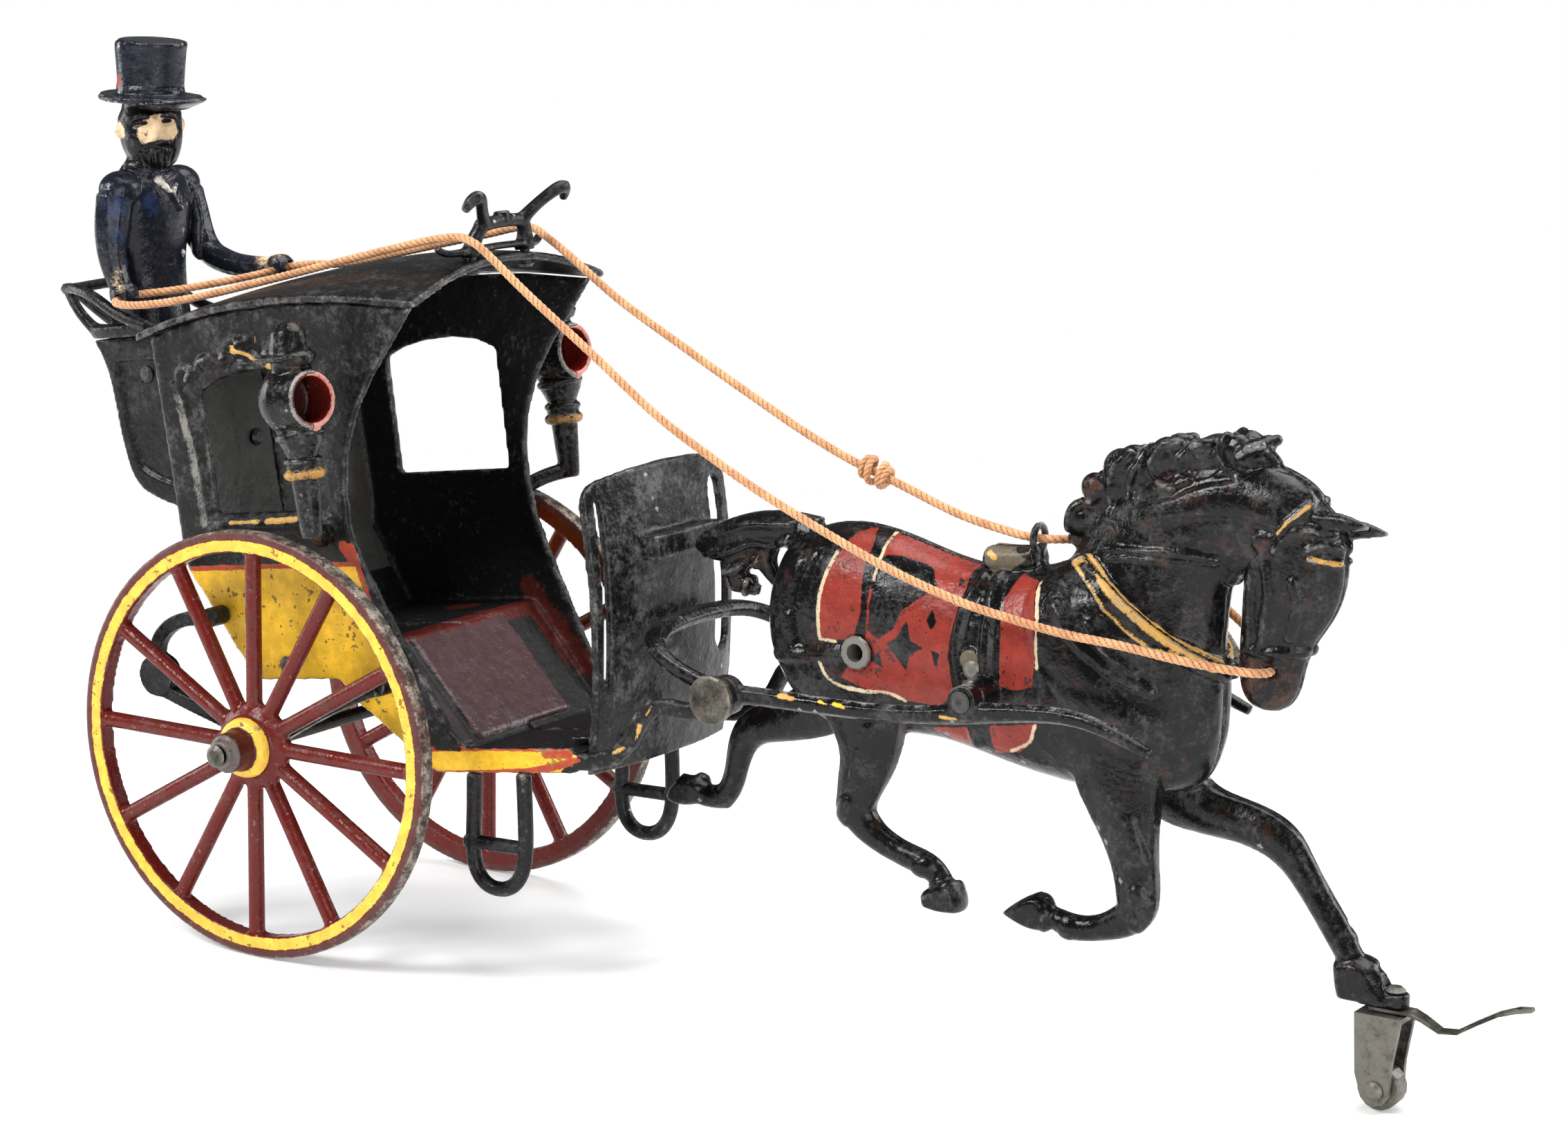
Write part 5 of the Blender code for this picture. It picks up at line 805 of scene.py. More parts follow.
class CABTOY_OT_cab_sides(bpy.types.Operator):
    """Cast the two halves of the cab body with their mouldings and paint"""
    bl_idname = "cab_toy.cab_sides"
    bl_label = "Cab sides"

    def execute(self, context):
        # Inside the cab, the near-black is partly painted shade and the lighter grey on the back wall is painted
        # light.
        zones = (("dark", "#0f0e0f", 0.45), ("back", "#454442", 0.4), ("board", "#523c3e", 0.2),
                 ("slat", "#3b3235", 0.3), ("edge", "#77746f", 0.35), ("seat_red", "#561b14", 0.4),
                 ("yellow", paint().yellow, 0.32), ("line", "#a8432c", 0.45), ("dab", "#15120f", 0.4),
                 ("gold", paint().gold, 0.42))
        finish = enamelled("black and yellow enamel on the cab body", paint().black, zones,
                           gloss=0.42, lift=0.6, chip=0.18)
        for word, side in (("near", -1.0), ("far", 1.0)):
            piece = node_copy("body_" + word, "cab_side_" + word)
            if side < 0.0:
                join(piece, self.board())
            cast(piece, sizes().body_voxel, 2)
            self.dress(piece, side)
            finish_piece(piece, CAB, finish, "black_enamel", "body_" + word)
        return {"FINISHED"}

    def board(self):
        """The kick-board's wide panel, one piece over the joint between the halves."""
        start, along, square = board_axes()
        bpy.ops.mesh.primitive_cube_add(size=1.0, location=(0.0, 0.0, 0.0))
        made = bpy.context.active_object
        for vert in made.data.vertices:
            run, across, rise = (BOARD_MIDDLE[axis] + BOARD_SIZE[axis] * vert.co[axis] for axis in range(3))
            place = start + along * run + square * rise
            vert.co = in_cab(place[0], across, place[1])
        edit(made)
        bpy.ops.mesh.normals_make_consistent(inside=False)
        done()
        return made

    def dress(self, piece, side):
        points = cab_points(piece)
        ahead, across, above = points.T
        flat = points[:, [0, 2]]
        normals = point_normals(piece)
        outward = normals[:, 1] * side
        outer = (outward > 0.5) & (across * side > 25.0)
        height = relief(flat, SIDE_MOULDINGS)
        for place, radius, shoulder, lift in SIDE_KNOBS:
            height = np.maximum(height, lift * round_step(in_dot(flat, place, radius), shoulder))
        raise_relief(piece, np.where(outer, height, 0.0), (0.0, side, 0.0))
        start, along, square = board_axes()
        run = (flat - start) @ along
        rise = (flat - start) @ square
        cab_normals = cab_directions(normals)[:, [0, 2]]
        on_board = (np.abs(rise) < 1.5) & (cab_normals @ square > 0.6)
        panel = inside_oblong((run, across), BOARD_MIDDLE, BOARD_SIZE)
        strip = inside_oblong((run, across), SLAT_MIDDLE, SLAT_SIZE)
        lift = np.clip(strip / 0.8, 0.0, 1.0) * SLAT_LIFT
        up = (in_cab(square[0], 0.0, square[1]) - in_cab(0.0, 0.0, 0.0)) / MM
        raise_relief(piece, np.where(on_board, lift, 0.0), up)
        mark(piece, "board", only(panel + 0.3, on_board))
        mark(piece, "slat", only(strip + 0.2, on_board))
        jamb = in_stroke(flat, JAMB, 0.9) * 0.3
        mark(piece, "edge", only(np.minimum(jamb, 0.06), outer))
        mark(piece, "yellow", only(inside_area(flat, LOWER_YELLOW), outer))
        mark(piece, "line", only(strokes(flat, RED_EDGES), outer))
        mark(piece, "dab", only(strokes(flat, BLACK_DABS), outer))
        mark(piece, "gold", only(strokes(flat, GOLD_CHIPS) - 0.1, outer))
        interior = (outward < 0.4) & (np.abs(across) < 31.5) & (ahead > -24.0)
        # The inside of the cab in unmottled near-black: partly its own black paint, partly painted shade.
        mark(piece, "dark", only(np.full(len(flat), 2.0), interior))
        # Painted light: the inside of the back wall is lighter grey, fading out towards the roof.
        behind = interior & (cab_normals[:, 0] > 0.8) & (ahead < -14.0) & (above > 24.0)
        mark(piece, "back", only(1.6 - np.clip((above - 62.0) * 0.08, 0.0, 2.0), behind))
        top_edge = (above > 16.0) & (above < 22.5) & (np.abs(across) < 27.0) & interior
        worn_seat = most(2.2 - np.abs(ahead - 24.0) * 0.8, in_dot(points, RED_SEAT_SPOT, 4.0))
        side_wall = interior & (across * side > 24.0) & (side > 0.0)
        worn_wall = in_stroke(flat, RED_WALL_PATCH, 2.4)
        mark(piece, "seat_red",
             np.maximum(only(worn_seat, top_edge) * 0.7, only(worn_wall, side_wall) * 0.16))


def plain_casting(node_name, name, voxel, rounds, body=CAB, finish=None):
    """A node cast again with soft edges, in black enamel unless told otherwise."""
    piece = cast(rounded(node_copy(node_name, name)), voxel, rounds)
    return finish_piece(piece, body, finish or black_enamel(), "black_enamel", node_name)


class CABTOY_OT_roof(bpy.types.Operator):
    """Cast the roof and the rein guide on it"""
    bl_idname = "cab_toy.roof"
    bl_label = "Roof and rein guide"

    def execute(self, context):
        plain_casting("roof", "roof_casting", sizes().body_voxel, 4)
        plain_casting("rein_guide", "rein_guide_casting", sizes().small_voxel, 4)
        return {"FINISHED"}


class CABTOY_OT_dash(bpy.types.Operator):
    """Cast the curved dash panel"""
    bl_idname = "cab_toy.dash"
    bl_label = "Dash"

    def execute(self, context):
        finish = enamelled("rubbed black enamel on the dash", paint().black, gloss=0.3, lift=1.0)
        plain_casting("dash", "dash_casting", sizes().figure_voxel, 3, CAB, finish)
        return {"FINISHED"}


STEP_SWELL = 0.42


class CABTOY_OT_running_gear(bpy.types.Operator):
    """Cast the springs and the steps"""
    bl_idname = "cab_toy.running_gear"
    bl_label = "Springs and steps"

    def execute(self, context):
        for word in ("near", "far"):
            plain_casting("spring_" + word, "spring_casting_" + word, sizes().small_voxel, 4)
            step = rounded(node_copy("step_" + word, "step_casting_" + word), 55.0)
            cast(step, sizes().small_voxel, 3)
            raise_relief(step, np.full(len(step.data.vertices), STEP_SWELL))
            finish_piece(step, CAB, black_enamel(), "black_enamel", "step_" + word)
        return {"FINISHED"}


LAMP_FORWARD = 26.0
LAMP_PLACE = 46.0
LAMP_HEIGHT = 73.0
LAMP_CAP = ((0.0, 8.0), (5.0, 8.2), (5.6, 9.0), (4.6, 9.8), (4.2, 11.8), (3.6, 14.2), (2.2, 15.9),
            (0.0, 16.4))
LAMP_TURNS = {"near": 12.0, "far": 3.0}
LAMP_BORE = 6.45
LAMP_BANDS = ((-12.4, 0.8, 0.8, 0.55), (-15.4, 1.0, 0.9, 0.7), (-7.6, 0.7, 0.7, 0.5))
GOLD_BAND = -15.2


class CABTOY_OT_lamps(bpy.types.Operator):
    """Turn the carriage lamps with their red mouths"""
    bl_idname = "cab_toy.lamps"
    bl_label = "Lamps"

    def execute(self, context):
        # The lamp's own paint is red inside with a gold band; the darker red deep in the mouth is painted shade,
        # and the salmon and light grey on the front lip are painted highlights.
        zones = (("red", paint().lamp_red, 0.3), ("deep", "#35110c", 0.35), ("rim", "#c98a7c", 0.35),
                 ("silver", "#8d8a86", 0.3), ("gold", "#a97e42", 0.4))
        finish = enamelled("black enamel lamp, red inside", paint().black, zones,
                           gloss=0.22, lift=0.75, rust=0.5, chip=0.5)
        for word, side in (("near", -1.0), ("far", 1.0)):
            piece = rounded(node_copy("lamp_" + word, "lamp_casting_" + word), 40.0)
            top = in_cab(LAMP_FORWARD, side * LAMP_PLACE, LAMP_HEIGHT)
            upright = in_cab(LAMP_FORWARD, side * LAMP_PLACE, LAMP_HEIGHT + 10.0) - top
            join(piece, spun("cap", LAMP_CAP, 48, top, upright.normalized(), Vector((0.0, 1.0, 0.0))))
            cast(piece, sizes().lamp_voxel, 5)
            self.dress(piece, side, LAMP_TURNS[word])
            finish_piece(piece, CAB, finish, "black_enamel", "lamp_" + word)
        return {"FINISHED"}

    def dress(self, piece, side, turn):
        points = cab_points(piece)
        away = points - np.array((LAMP_FORWARD, side * LAMP_PLACE, LAMP_HEIGHT))
        angle = math.radians(turn)
        rise = away[:, 2]
        ahead = away[:, 0] * math.cos(angle) - away[:, 1] * math.sin(angle)
        across = away[:, 0] * math.sin(angle) + away[:, 1] * math.cos(angle)
        out = np.hypot(across, rise)
        squeeze = 1.1 * np.clip((ahead + 1.0) / 5.5, 0.0, 1.0) * (out < 9.0)
        radial = np.stack([across * math.sin(angle), across * math.cos(angle), rise], axis=1)
        radial = radial / np.maximum(out, 0.1)[:, None]
        inside = (out < LAMP_BORE) & (ahead > -4.2) & (ahead < 5.9)
        mark(piece, "red", np.where(inside, 2.0, -4.0))
        # Painted shade: the red darkens towards the back of the mouth and towards one side.
        mark(piece, "deep", np.where(inside, 0.9 - ahead * 0.35 - across * 0.3, -4.0))
        # Painted highlights on the front lip: salmon on one side, light grey round the rest.
        rim = (ahead > 4.9) & (out > 5.9) & (out < 8.0) & (across > -1.0) & (rise < 6.5)
        mark(piece, "rim", np.where(rim, 0.5, -4.0))
        mark(piece, "silver", np.where((ahead > 4.9) & (out > 6.4) & (out < 8.2) & ~rim, 0.1, -4.0))
        mark(piece, "gold", 0.1 - np.abs(rise - GOLD_BAND) * 0.2)
        bands = most(*(lift * round_step(half - np.abs(rise - place), shoulder)
                       for place, half, shoulder, lift in LAMP_BANDS))
        raise_relief(piece, np.where(rise < -6.9, bands, 0.0))
        raise_relief(piece, -squeeze, radial)


# Wheels

WHEEL_RADIUS = 46.0
WHEEL_WIDTH = 4.0
RIM_DEPTH = 4.6
SPOKES = 12
SPOKE_RADIUS = 1.75
RIM_LINE = 42.9
RIM_BEVEL = 0.4
HUB_NOSE = 4.4
AXLE_NUT = 6.2
HALF_TRACK = 41.6
UP = (0.0, 0.0, 1.0)


class CABTOY_OT_wheels(bpy.types.Operator):
    """Cast the two spoked wheels"""
    bl_idname = "cab_toy.wheels"
    bl_label = "Wheels"

    def execute(self, context):
        zones = (("band", "#5b3430", 0.42), ("tread", "#3a302b", 0.45), ("yellow", paint().rim_yellow, 0.32),
                 ("hub", "#4a1a15", 0.36), ("tip", "#5f5955", 0.36), ("flake", "#9a9084", 0.4))
        finish = enamelled("maroon enamel wheel with a yellow line", paint().maroon, zones,
                           wear=0.6, gloss=0.18, lift=0.16, rust=0.5, chip=0.6)
        for word, side in (("near", -1.0), ("far", 1.0)):
            piece = self.wheel("wheel_casting_" + word, side)
            self.dress(piece, side)
            finish_piece(piece, "wheel_" + word, finish, "maroon_enamel", "wheel_" + word)
        return {"FINISHED"}

    def wheel(self, name, side):
        middle = at(0.0, side * HALF_TRACK, AXLE_HEIGHT)
        axis = (0.0, side, 0.0)
        half = WHEEL_WIDTH / 2.0
        inner = WHEEL_RADIUS - RIM_DEPTH
        edge = WHEEL_RADIUS - RIM_BEVEL
        nose = half + HUB_NOSE
        cap = nose + AXLE_NUT
        rim_profile = ((inner, -half), (edge, -half), (WHEEL_RADIUS, RIM_BEVEL - half),
                       (WHEEL_RADIUS, half - RIM_BEVEL), (edge, half), (inner, half))
        hub_profile = ((1.8, -half - 0.9), (5.2, -half - 0.9), (9.0, -half + 0.8), (9.2, half - 1.2),
                       (7.6, half), (6.6, half + 0.4), (6.3, nose - 2.2), (5.8, nose - 1.5),
                       (4.6, nose - 1.3), (4.3, nose - 0.4), (4.2, cap - 2.6), (3.1, cap - 2.4),
                       (2.9, cap - 0.9), (2.6, cap - 0.7), (1.8, cap - 0.7))
        rim = spun(name, rim_profile, 128, middle, axis, UP)
        hub = spun("hub", hub_profile, 72, middle, axis, UP)
        spoke_middle = middle + Vector((0.0, 0.0, (inner + 7.0) / 2.0 * MM))
        arms = []
        for index in range(SPOKES):
            bpy.ops.mesh.primitive_cylinder_add(vertices=20, radius=SPOKE_RADIUS * MM,
                                                depth=(inner - 5.0) * MM, location=spoke_middle)
            arm = bpy.context.active_object
            settle(arm)
            turn = Matrix.Rotation(2.0 * math.pi * index / SPOKES, 4, "Y")
            arm.data.transform(Matrix.Translation(middle) @ turn @ Matrix.Translation(-middle))
            arms.append(arm)
        join(rim, hub, *arms)
        return cast(rim, sizes().figure_voxel, 2)

    def dress(self, piece, side):
        points = measured_points(piece)
        out = np.hypot(points[:, 0], points[:, 2] - AXLE_HEIGHT)
        face = point_normals(piece)[:, 1] * side
        beyond = points[:, 1] * side - HALF_TRACK
        ring = only(1.2 - np.abs(out - RIM_LINE), face > 0.5)
        collar = only(1.6 - np.abs(beyond - 4.6), (out > 4.6) & (out < 7.2) & (beyond > 3.0))
        mark(piece, "yellow", np.maximum(ring, collar))
        mark(piece, "tip", only(beyond - 9.8, out < 4.6))
        mark(piece, "flake", only(np.where(np.abs(face) < 0.8, -0.02, -0.2), out > 44.5))
        mark(piece, "band", only(out - 44.3, out > 40.0))
        mark(piece, "tread", only(np.full(len(out), 0.2), (out > 45.2) & (np.abs(face) < 0.8)))
        mark(piece, "hub", only(4.8 - out, beyond > 4.6))


# Driver

HEAD_MIDDLE = (-45.1, 0.0, 131.0)
HEAD_TURN = math.radians(-38.0)
HAT_PLACE = (-43.4, 0.0, 137.9)
HAT_LEAN = math.radians(5.0)
FACE = (  # lines on the front of the head, across and up from its middle, with half width and height in mm
    ([(0.0, 2.4), (0.0, 0.6), (0.0, -1.3)], 0.9, 1.3), ([(-0.8, -1.4), (0.8, -1.4)], 0.7, 0.7),
    ([(-4.4, 3.0), (-2.4, 3.7), (-0.6, 3.0)], 0.8, 0.5), ([(4.4, 3.0), (2.4, 3.7), (0.6, 3.0)], 0.8, 0.5),
    ([(-3.4, 1.9), (-1.5, 1.9)], 0.9, -0.6), ([(3.4, 1.9), (1.5, 1.9)], 0.9, -0.6),
    ([(-3.9, -0.6), (-3.2, -0.4)], 1.7, 0.35), ([(3.9, -0.6), (3.2, -0.4)], 1.7, 0.35),
    ([(-2.7, -3.3), (-1.2, -2.6), (0.0, -2.8), (1.2, -2.6), (2.7, -3.3)], 0.7, 0.6),
    ([(-1.3, -3.6), (1.3, -3.6)], 0.4, -0.4),
    ([(-4.8, -1.8), (-4.2, -4.4), (-2.4, -6.6), (0.0, -7.4), (2.4, -6.6), (4.2, -4.4), (4.8, -1.8)],
     1.9, 0.9),
    ([(0.0, -4.8), (0.0, -8.0)], 2.2, 1.0), ([(-1.2, -5.0), (-0.9, -8.4)], 0.3, -0.4),
    ([(1.2, -5.0), (0.9, -8.4)], 0.3, -0.4), ([(-3.2, -4.4), (-2.2, -7.4)], 0.3, -0.4),
    ([(3.2, -4.4), (2.2, -7.4)], 0.3, -0.4), ([(0.0, -5.2), (0.0, -8.6)], 0.3, -0.4))
# The bare skin stops short of the brim: the black forehead above it is partly worn flesh paint, partly painted
# shadow of the brim.
BARE_SKIN = [(-3.0, -2.6), (-3.9, -0.6), (-3.4, 1.2), (-2.0, 1.6), (-2.6, 3.4), (1.6, 3.9), (2.4, 2.6),
             (4.2, 2.2), (4.6, -0.6), (3.4, -2.4), (0.0, -2.2)]
BROWS = (([(-3.9, 3.0), (-1.4, 3.1)], 0.3), ([(3.9, 3.0), (1.4, 3.1)], 0.3),
         ([(-3.0, 1.9), (-1.8, 1.9)], 0.36), ([(3.0, 1.9), (1.8, 1.9)], 0.36))
EAR_REACH = 6.2
EAR_RISE = 0.8
EAR_TURN = math.radians(88.0)
HEAD_RADIUS = 9.6
HAT_LINE = 136.6
HANDS = (((-57.9, -16.4, 138.2), 2.4), ((-38.6, 12.6, 141.4), 3.2))
RED_CHIP = (-66.6, -6.8, 180.6)
HAT_PROFILES = (  # name, steps round the axis, and radius and height of each point in mm
    ("crown", 64, ((0.0, 0.0), (7.7, 0.4), (7.4, 3.0), (7.5, 7.0), (7.7, 11.0), (7.9, 12.6), (7.7, 13.3),
                   (0.0, 13.5))),
    ("brim", 72, ((0.0, -0.4), (8.6, -0.3), (11.0, 0.0), (12.0, 0.5), (12.1, 1.1), (11.6, 1.2), (8.6, 0.9),
                  (0.0, 0.9))),
    ("band", 64, ((7.0, 1.0), (8.1, 1.0), (8.0, 3.0), (7.0, 3.0))))
COAT = (  # seams and edges of the coat at measured places, with half width and height in mm
    ([(-58.4, -3.6, 160.4), (-57.0, -0.8, 156.6), (-56.2, 2.0, 152.6)], 0.8, 0.7),
    ([(-57.6, 4.6, 160.2), (-56.4, 3.6, 156.4), (-56.2, 2.2, 152.6)], 0.8, 0.7),
    ([(-56.2, 2.6, 152.4), (-56.3, 2.8, 146.0), (-56.8, 2.8, 139.6)], 0.5, -0.5),
    ([(-58.6, 9.2, 156.4), (-58.2, 10.2, 149.0), (-58.4, 9.6, 140.6)], 1.3, 0.8),
    ([(-64.2, -5.6, 162.4), (-60.0, -5.0, 160.6), (-58.2, -1.0, 159.4), (-58.4, 3.4, 160.6)], 1.1, 0.9),
    ([(-61.6, -9.6, 157.6), (-60.4, -11.2, 150.8), (-60.0, -11.0, 142.0)], 0.8, -0.6))
BUTTON_RADIUS = 0.9
BUTTONS = ((-56.2, 3.9, 153.2), (-56.2, 4.1, 147.8), (-56.6, 4.0, 142.4))
BLUE_WORN = (((-61.2, -14.4, 153.4), 3.6), ((-60.4, -15.0, 147.6), 2.6), ((-58.4, -6.0, 154.4), 3.2),
             ((-59.6, -11.4, 140.4), 1.8))
WHITE_CHIPS = (([(-58.2, -3.4, 159.2), (-57.0, -0.8, 156.8)], 0.5),
               ([(-57.0, 2.8, 158.0), (-56.6, 0.6, 156.4), (-56.2, 1.2, 154.4)], 0.5))


class CABTOY_OT_driver(bpy.types.Operator):
    """Cast the driver, the perch and the seat rail"""
    bl_idname = "cab_toy.driver"
    bl_label = "Driver and perch"

    def execute(self, context):
        plain_casting("perch", "perch_casting", sizes().figure_voxel, 3)
        plain_casting("seat_rail", "seat_rail_casting", sizes().small_voxel, 6)
        # The white zone paints the cravat, and painted highlights on two buttons.
        zones = (("flesh", paint().flesh, 0.4), ("black", "#0b0b0c", 0.25), ("blue", "#1e2c4c", 0.26),
                 ("white", "#d8d2c8", 0.4), ("red", "#9c2f26", 0.4))
        finish = enamelled("painted driver figure, glossy blue-black coat", paint().coat, zones,
                           gloss=0.1, lift=0.3, rust=0.1)
        piece = rounded(node_copy("driver", "driver_figure"), 40.0)
        shoulders = [cab_ball((-47.2, side * 9.6, 118.9), (4.6, 5.4, 4.2)) for side in (-1.0, 1.0)]
        join(piece, *shoulders, *self.hat(), *self.ears())
        cast(piece, sizes().small_voxel, 4)
        self.dress(piece)
        finish_piece(piece, CAB, finish, "black_enamel", "driver")
        return {"FINISHED"}

    def ears(self):
        """An ear on each side of the turned head."""
        ahead, across, up = HEAD_MIDDLE
        made = []
        for side in (-1.0, 1.0):
            turn = HEAD_TURN + side * EAR_TURN
            place = (ahead + EAR_REACH * math.cos(turn), across + EAR_REACH * math.sin(turn), up + EAR_RISE)
            made.append(cab_ball(place, (1.0, 1.0, 1.7)))
        return made

    def hat(self):
        """The tall hat's crown and curled brim, leaning back a little."""
        lean = CAB_PITCH - HAT_LEAN
        axis = Vector((math.sin(lean), 0.0, math.cos(lean)))
        first = Vector((math.cos(lean), 0.0, -math.sin(lean)))
        middle = in_cab(*HAT_PLACE)
        return [spun(name, profile, steps, middle, axis, first) for name, steps, profile in HAT_PROFILES]

    def dress(self, piece):
        points = measured_points(piece)
        cab = cab_points(piece)
        height = np.zeros(len(points))
        for line, half, lift in COAT:
            height += lift * round_step(in_stroke(points, line, half), half)
        for place in BUTTONS:
            height = np.maximum(height, 0.7 * round_step(in_dot(points, place, BUTTON_RADIUS), 0.5))
        raise_relief(piece, height)
        away = cab - np.array(HEAD_MIDDLE)
        outward = away * (1.0, 1.0, 0.0)
        reach = np.linalg.norm(outward, axis=1)
        outward = outward / np.maximum(reach, 0.1)[:, None]
        level = cab[:, 2]
        fuller = 0.35 * np.clip(np.minimum(level - 122.0, HAT_LINE - level), 0.0, 2.0) * (reach < HEAD_RADIUS)
        tighter = np.where(level > 140.0, 0.225, 0.45) * np.clip(reach - 7.0, 0.0, 2.0) * (level > 137.0)
        raise_relief(piece, fuller - tighter, outward)
        ahead = away[:, 0] * math.cos(HEAD_TURN) + away[:, 1] * math.sin(HEAD_TURN)
        across = away[:, 1] * math.cos(HEAD_TURN) - away[:, 0] * math.sin(HEAD_TURN)
        front = np.stack([across, away[:, 2]], axis=1)
        on_face = (ahead > 1.0) & (level < HAT_LINE) & (level > 121.0) & (reach < 9.5)
        forward = Vector((math.cos(HEAD_TURN), math.sin(HEAD_TURN), 0.0))
        raise_relief(piece, np.where(on_face, relief(front, FACE), 0.0), forward)
        modified(piece, "SMOOTH", factor=0.5, iterations=1)
        head = (level < HAT_LINE + 0.2) & (level > 122.6) & (reach < HEAD_RADIUS)
        skin = np.minimum(ahead - 1.2, inside_area(front, BARE_SKIN))
        brows = strokes(front, BROWS)
        sides = [HEAD_TURN + side * EAR_TURN for side in (-1.0, 1.0)]
        ear = dots(away, [((6.5 * math.cos(turn), 6.5 * math.sin(turn), EAR_RISE), 2.0) for turn in sides])
        flesh = np.maximum(np.minimum(skin * 0.35, -brows), ear * 0.3)
        mark(piece, "flesh", np.maximum(only(flesh, head), dots(points, HANDS) * 0.1 - 0.05))
        # Black on the head outside the skin: hair, beard and worn flesh paint, and below the brim painted
        # shadow.
        mark(piece, "black", only(np.minimum(2.0, 0.1 - np.minimum(skin, -brows)), head & (ear < 0.0)))
        mark(piece, "blue", dots(points, BLUE_WORN) * 0.1 - 0.12)
        # Painted highlights: pale spots on the two lower buttons.
        button_highlights = [(place, BUTTON_RADIUS) for place in BUTTONS[1:]]
        mark(piece, "white", most(strokes(points, WHITE_CHIPS), dots(points, button_highlights)) * 0.4)
        mark(piece, "red", in_dot(points, RED_CHIP, 1.6) * 0.5)


# Horse and shafts

REAR_PANEL = [(125.6, 100.7), (128.8, 101.3), (130.7, 98.5), (130.3, 95.4), (130.6, 90.7), (131.2, 85.5),
              (129.5, 79.8), (126.8, 79.9), (121.9, 79.6), (121.3, 82.7), (121.3, 86.9), (121.6, 90.3),
              (122.3, 93.8), (123.6, 96.6)]
MAIN_PANEL = [(132.8, 100.6), (139.3, 99.3), (146, 98.3), (152, 97.5), (152.3, 95.6), (152.8, 92.9),
              (152.4, 88.5), (151.7, 83.8), (151.4, 79.6), (152.1, 76.2), (153, 72.5), (149.4, 69.1),
              (141.2, 69), (132.2, 70.6), (126.7, 72.2), (128.9, 75.1), (132.4, 77.9), (132.6, 84.2),
              (132.5, 89.6), (132.9, 97.4)]
FRONT_PANEL = [(161.8, 91.5), (163.3, 96.3), (168.2, 96.0), (170.3, 88.8), (170.9, 82.2), (170.6, 76.0),
               (166, 75.0), (163.5, 75.6), (163.0, 83.9)]
BELLY_PATCHES = ([(145.1, 63.6), (156.3, 65.8), (154.2, 60.8), (150.3, 61.6)],
                 [(160.5, 66.8), (171.7, 68.9), (170, 64.6), (166.8, 62.1), (160.2, 60.4)])
PANEL_CHIPS = (
    [(133.0, 97.0), (137.6, 97.4), (144.5, 95.6), (146.6, 92.6), (143.6, 90.0), (140.4, 87.6), (138.6, 83.4),
     (135.4, 81.0), (133.0, 82.6)],
    [(137.2, 80.5), (139.6, 82.0), (141.6, 85.6), (142.6, 81.6), (145.6, 80.6), (142.6, 78.6), (141.8, 75.6),
     (139.8, 77.8)],
    [(147.2, 80.6), (149.4, 80.0), (148.8, 76.4)], [(133.2, 76.6), (135.6, 78.6), (136.6, 75.4)],
    [(146.8, 88.4), (148.2, 86.0), (147.2, 84.0), (145.8, 86.2)],
    [(150.5, 94.6), (152.0, 94.0), (151.2, 92.6)])
CREAM_LINES = (
    ([(123.2, 96.6), (121.8, 92.0), (121.0, 87.0), (121.3, 82.0), (121.8, 79.6)], 0.42),
    ([(121.7, 79.5), (125.6, 79.4)], 0.35), ([(132.8, 100.6), (133.1, 96.2), (132.9, 92.4)], 0.3),
    ([(121.7, 74.6), (123.3, 71.8), (126.5, 70.4), (132.2, 70.0), (137.4, 70.2), (141.2, 69)], 0.36),
    ([(169.0, 95.6), (170.6, 90.5), (171.0, 86), (171.4, 80)], 0.36),
    ([(171.0, 68.4), (169.2, 64.6), (164.4, 61.8)], 0.36))
GOLD_LINES = (
    ([(177.4, 101.0), (180.2, 99.0), (184.2, 95.6), (188.0, 91.0), (193.8, 87.7), (200.2, 86.0)], 0.36),
    ([(177.6, 101.2), (179.5, 101.9), (182.0, 100.6), (186.4, 96.6), (191.6, 92.9), (197.4, 88.9),
      (202.1, 86.2), (205.8, 83.1)], 0.62))
GOLD_DABS = (([(224.6, 106.9), (226.8, 106.3), (229.0, 105.7)], 0.42), ([(155.6, 99.6), (157.0, 98.8)], 0.5),
             ([(218.5, 111.1), (220.9, 113.7), (223.4, 115.6)], 0.3))
ROSETTES = (((215.2, 108.6), 2.4, 0.9), ((226.9, 107.2), 0.9, 0.5), ((156.7, 79.8), 2.4, 0.9),
            ((156.0, 91.0), 1.8, 0.5))
BROWN_SPOTS = (((177.4, 115.0), 2.4), ((193.6, 118.6), 1.6), ((215.2, 108.6), 1.8), ((192.0, 110.0), 1.0))
RED_PANELS = (REAR_PANEL, MAIN_PANEL, FRONT_PANEL) + BELLY_PATCHES
RELIEF_DEPTH = 1.4
COLLAR_LIFT = 0.9
TAN_SPOT = ((156.7, 79.8), 2.0)
TAN_PATCH = [(154.0, 101.6), (159.0, 101.8), (163.6, 99.0), (160.2, 96.6), (157.0, 95.0), (155.0, 97.3)]
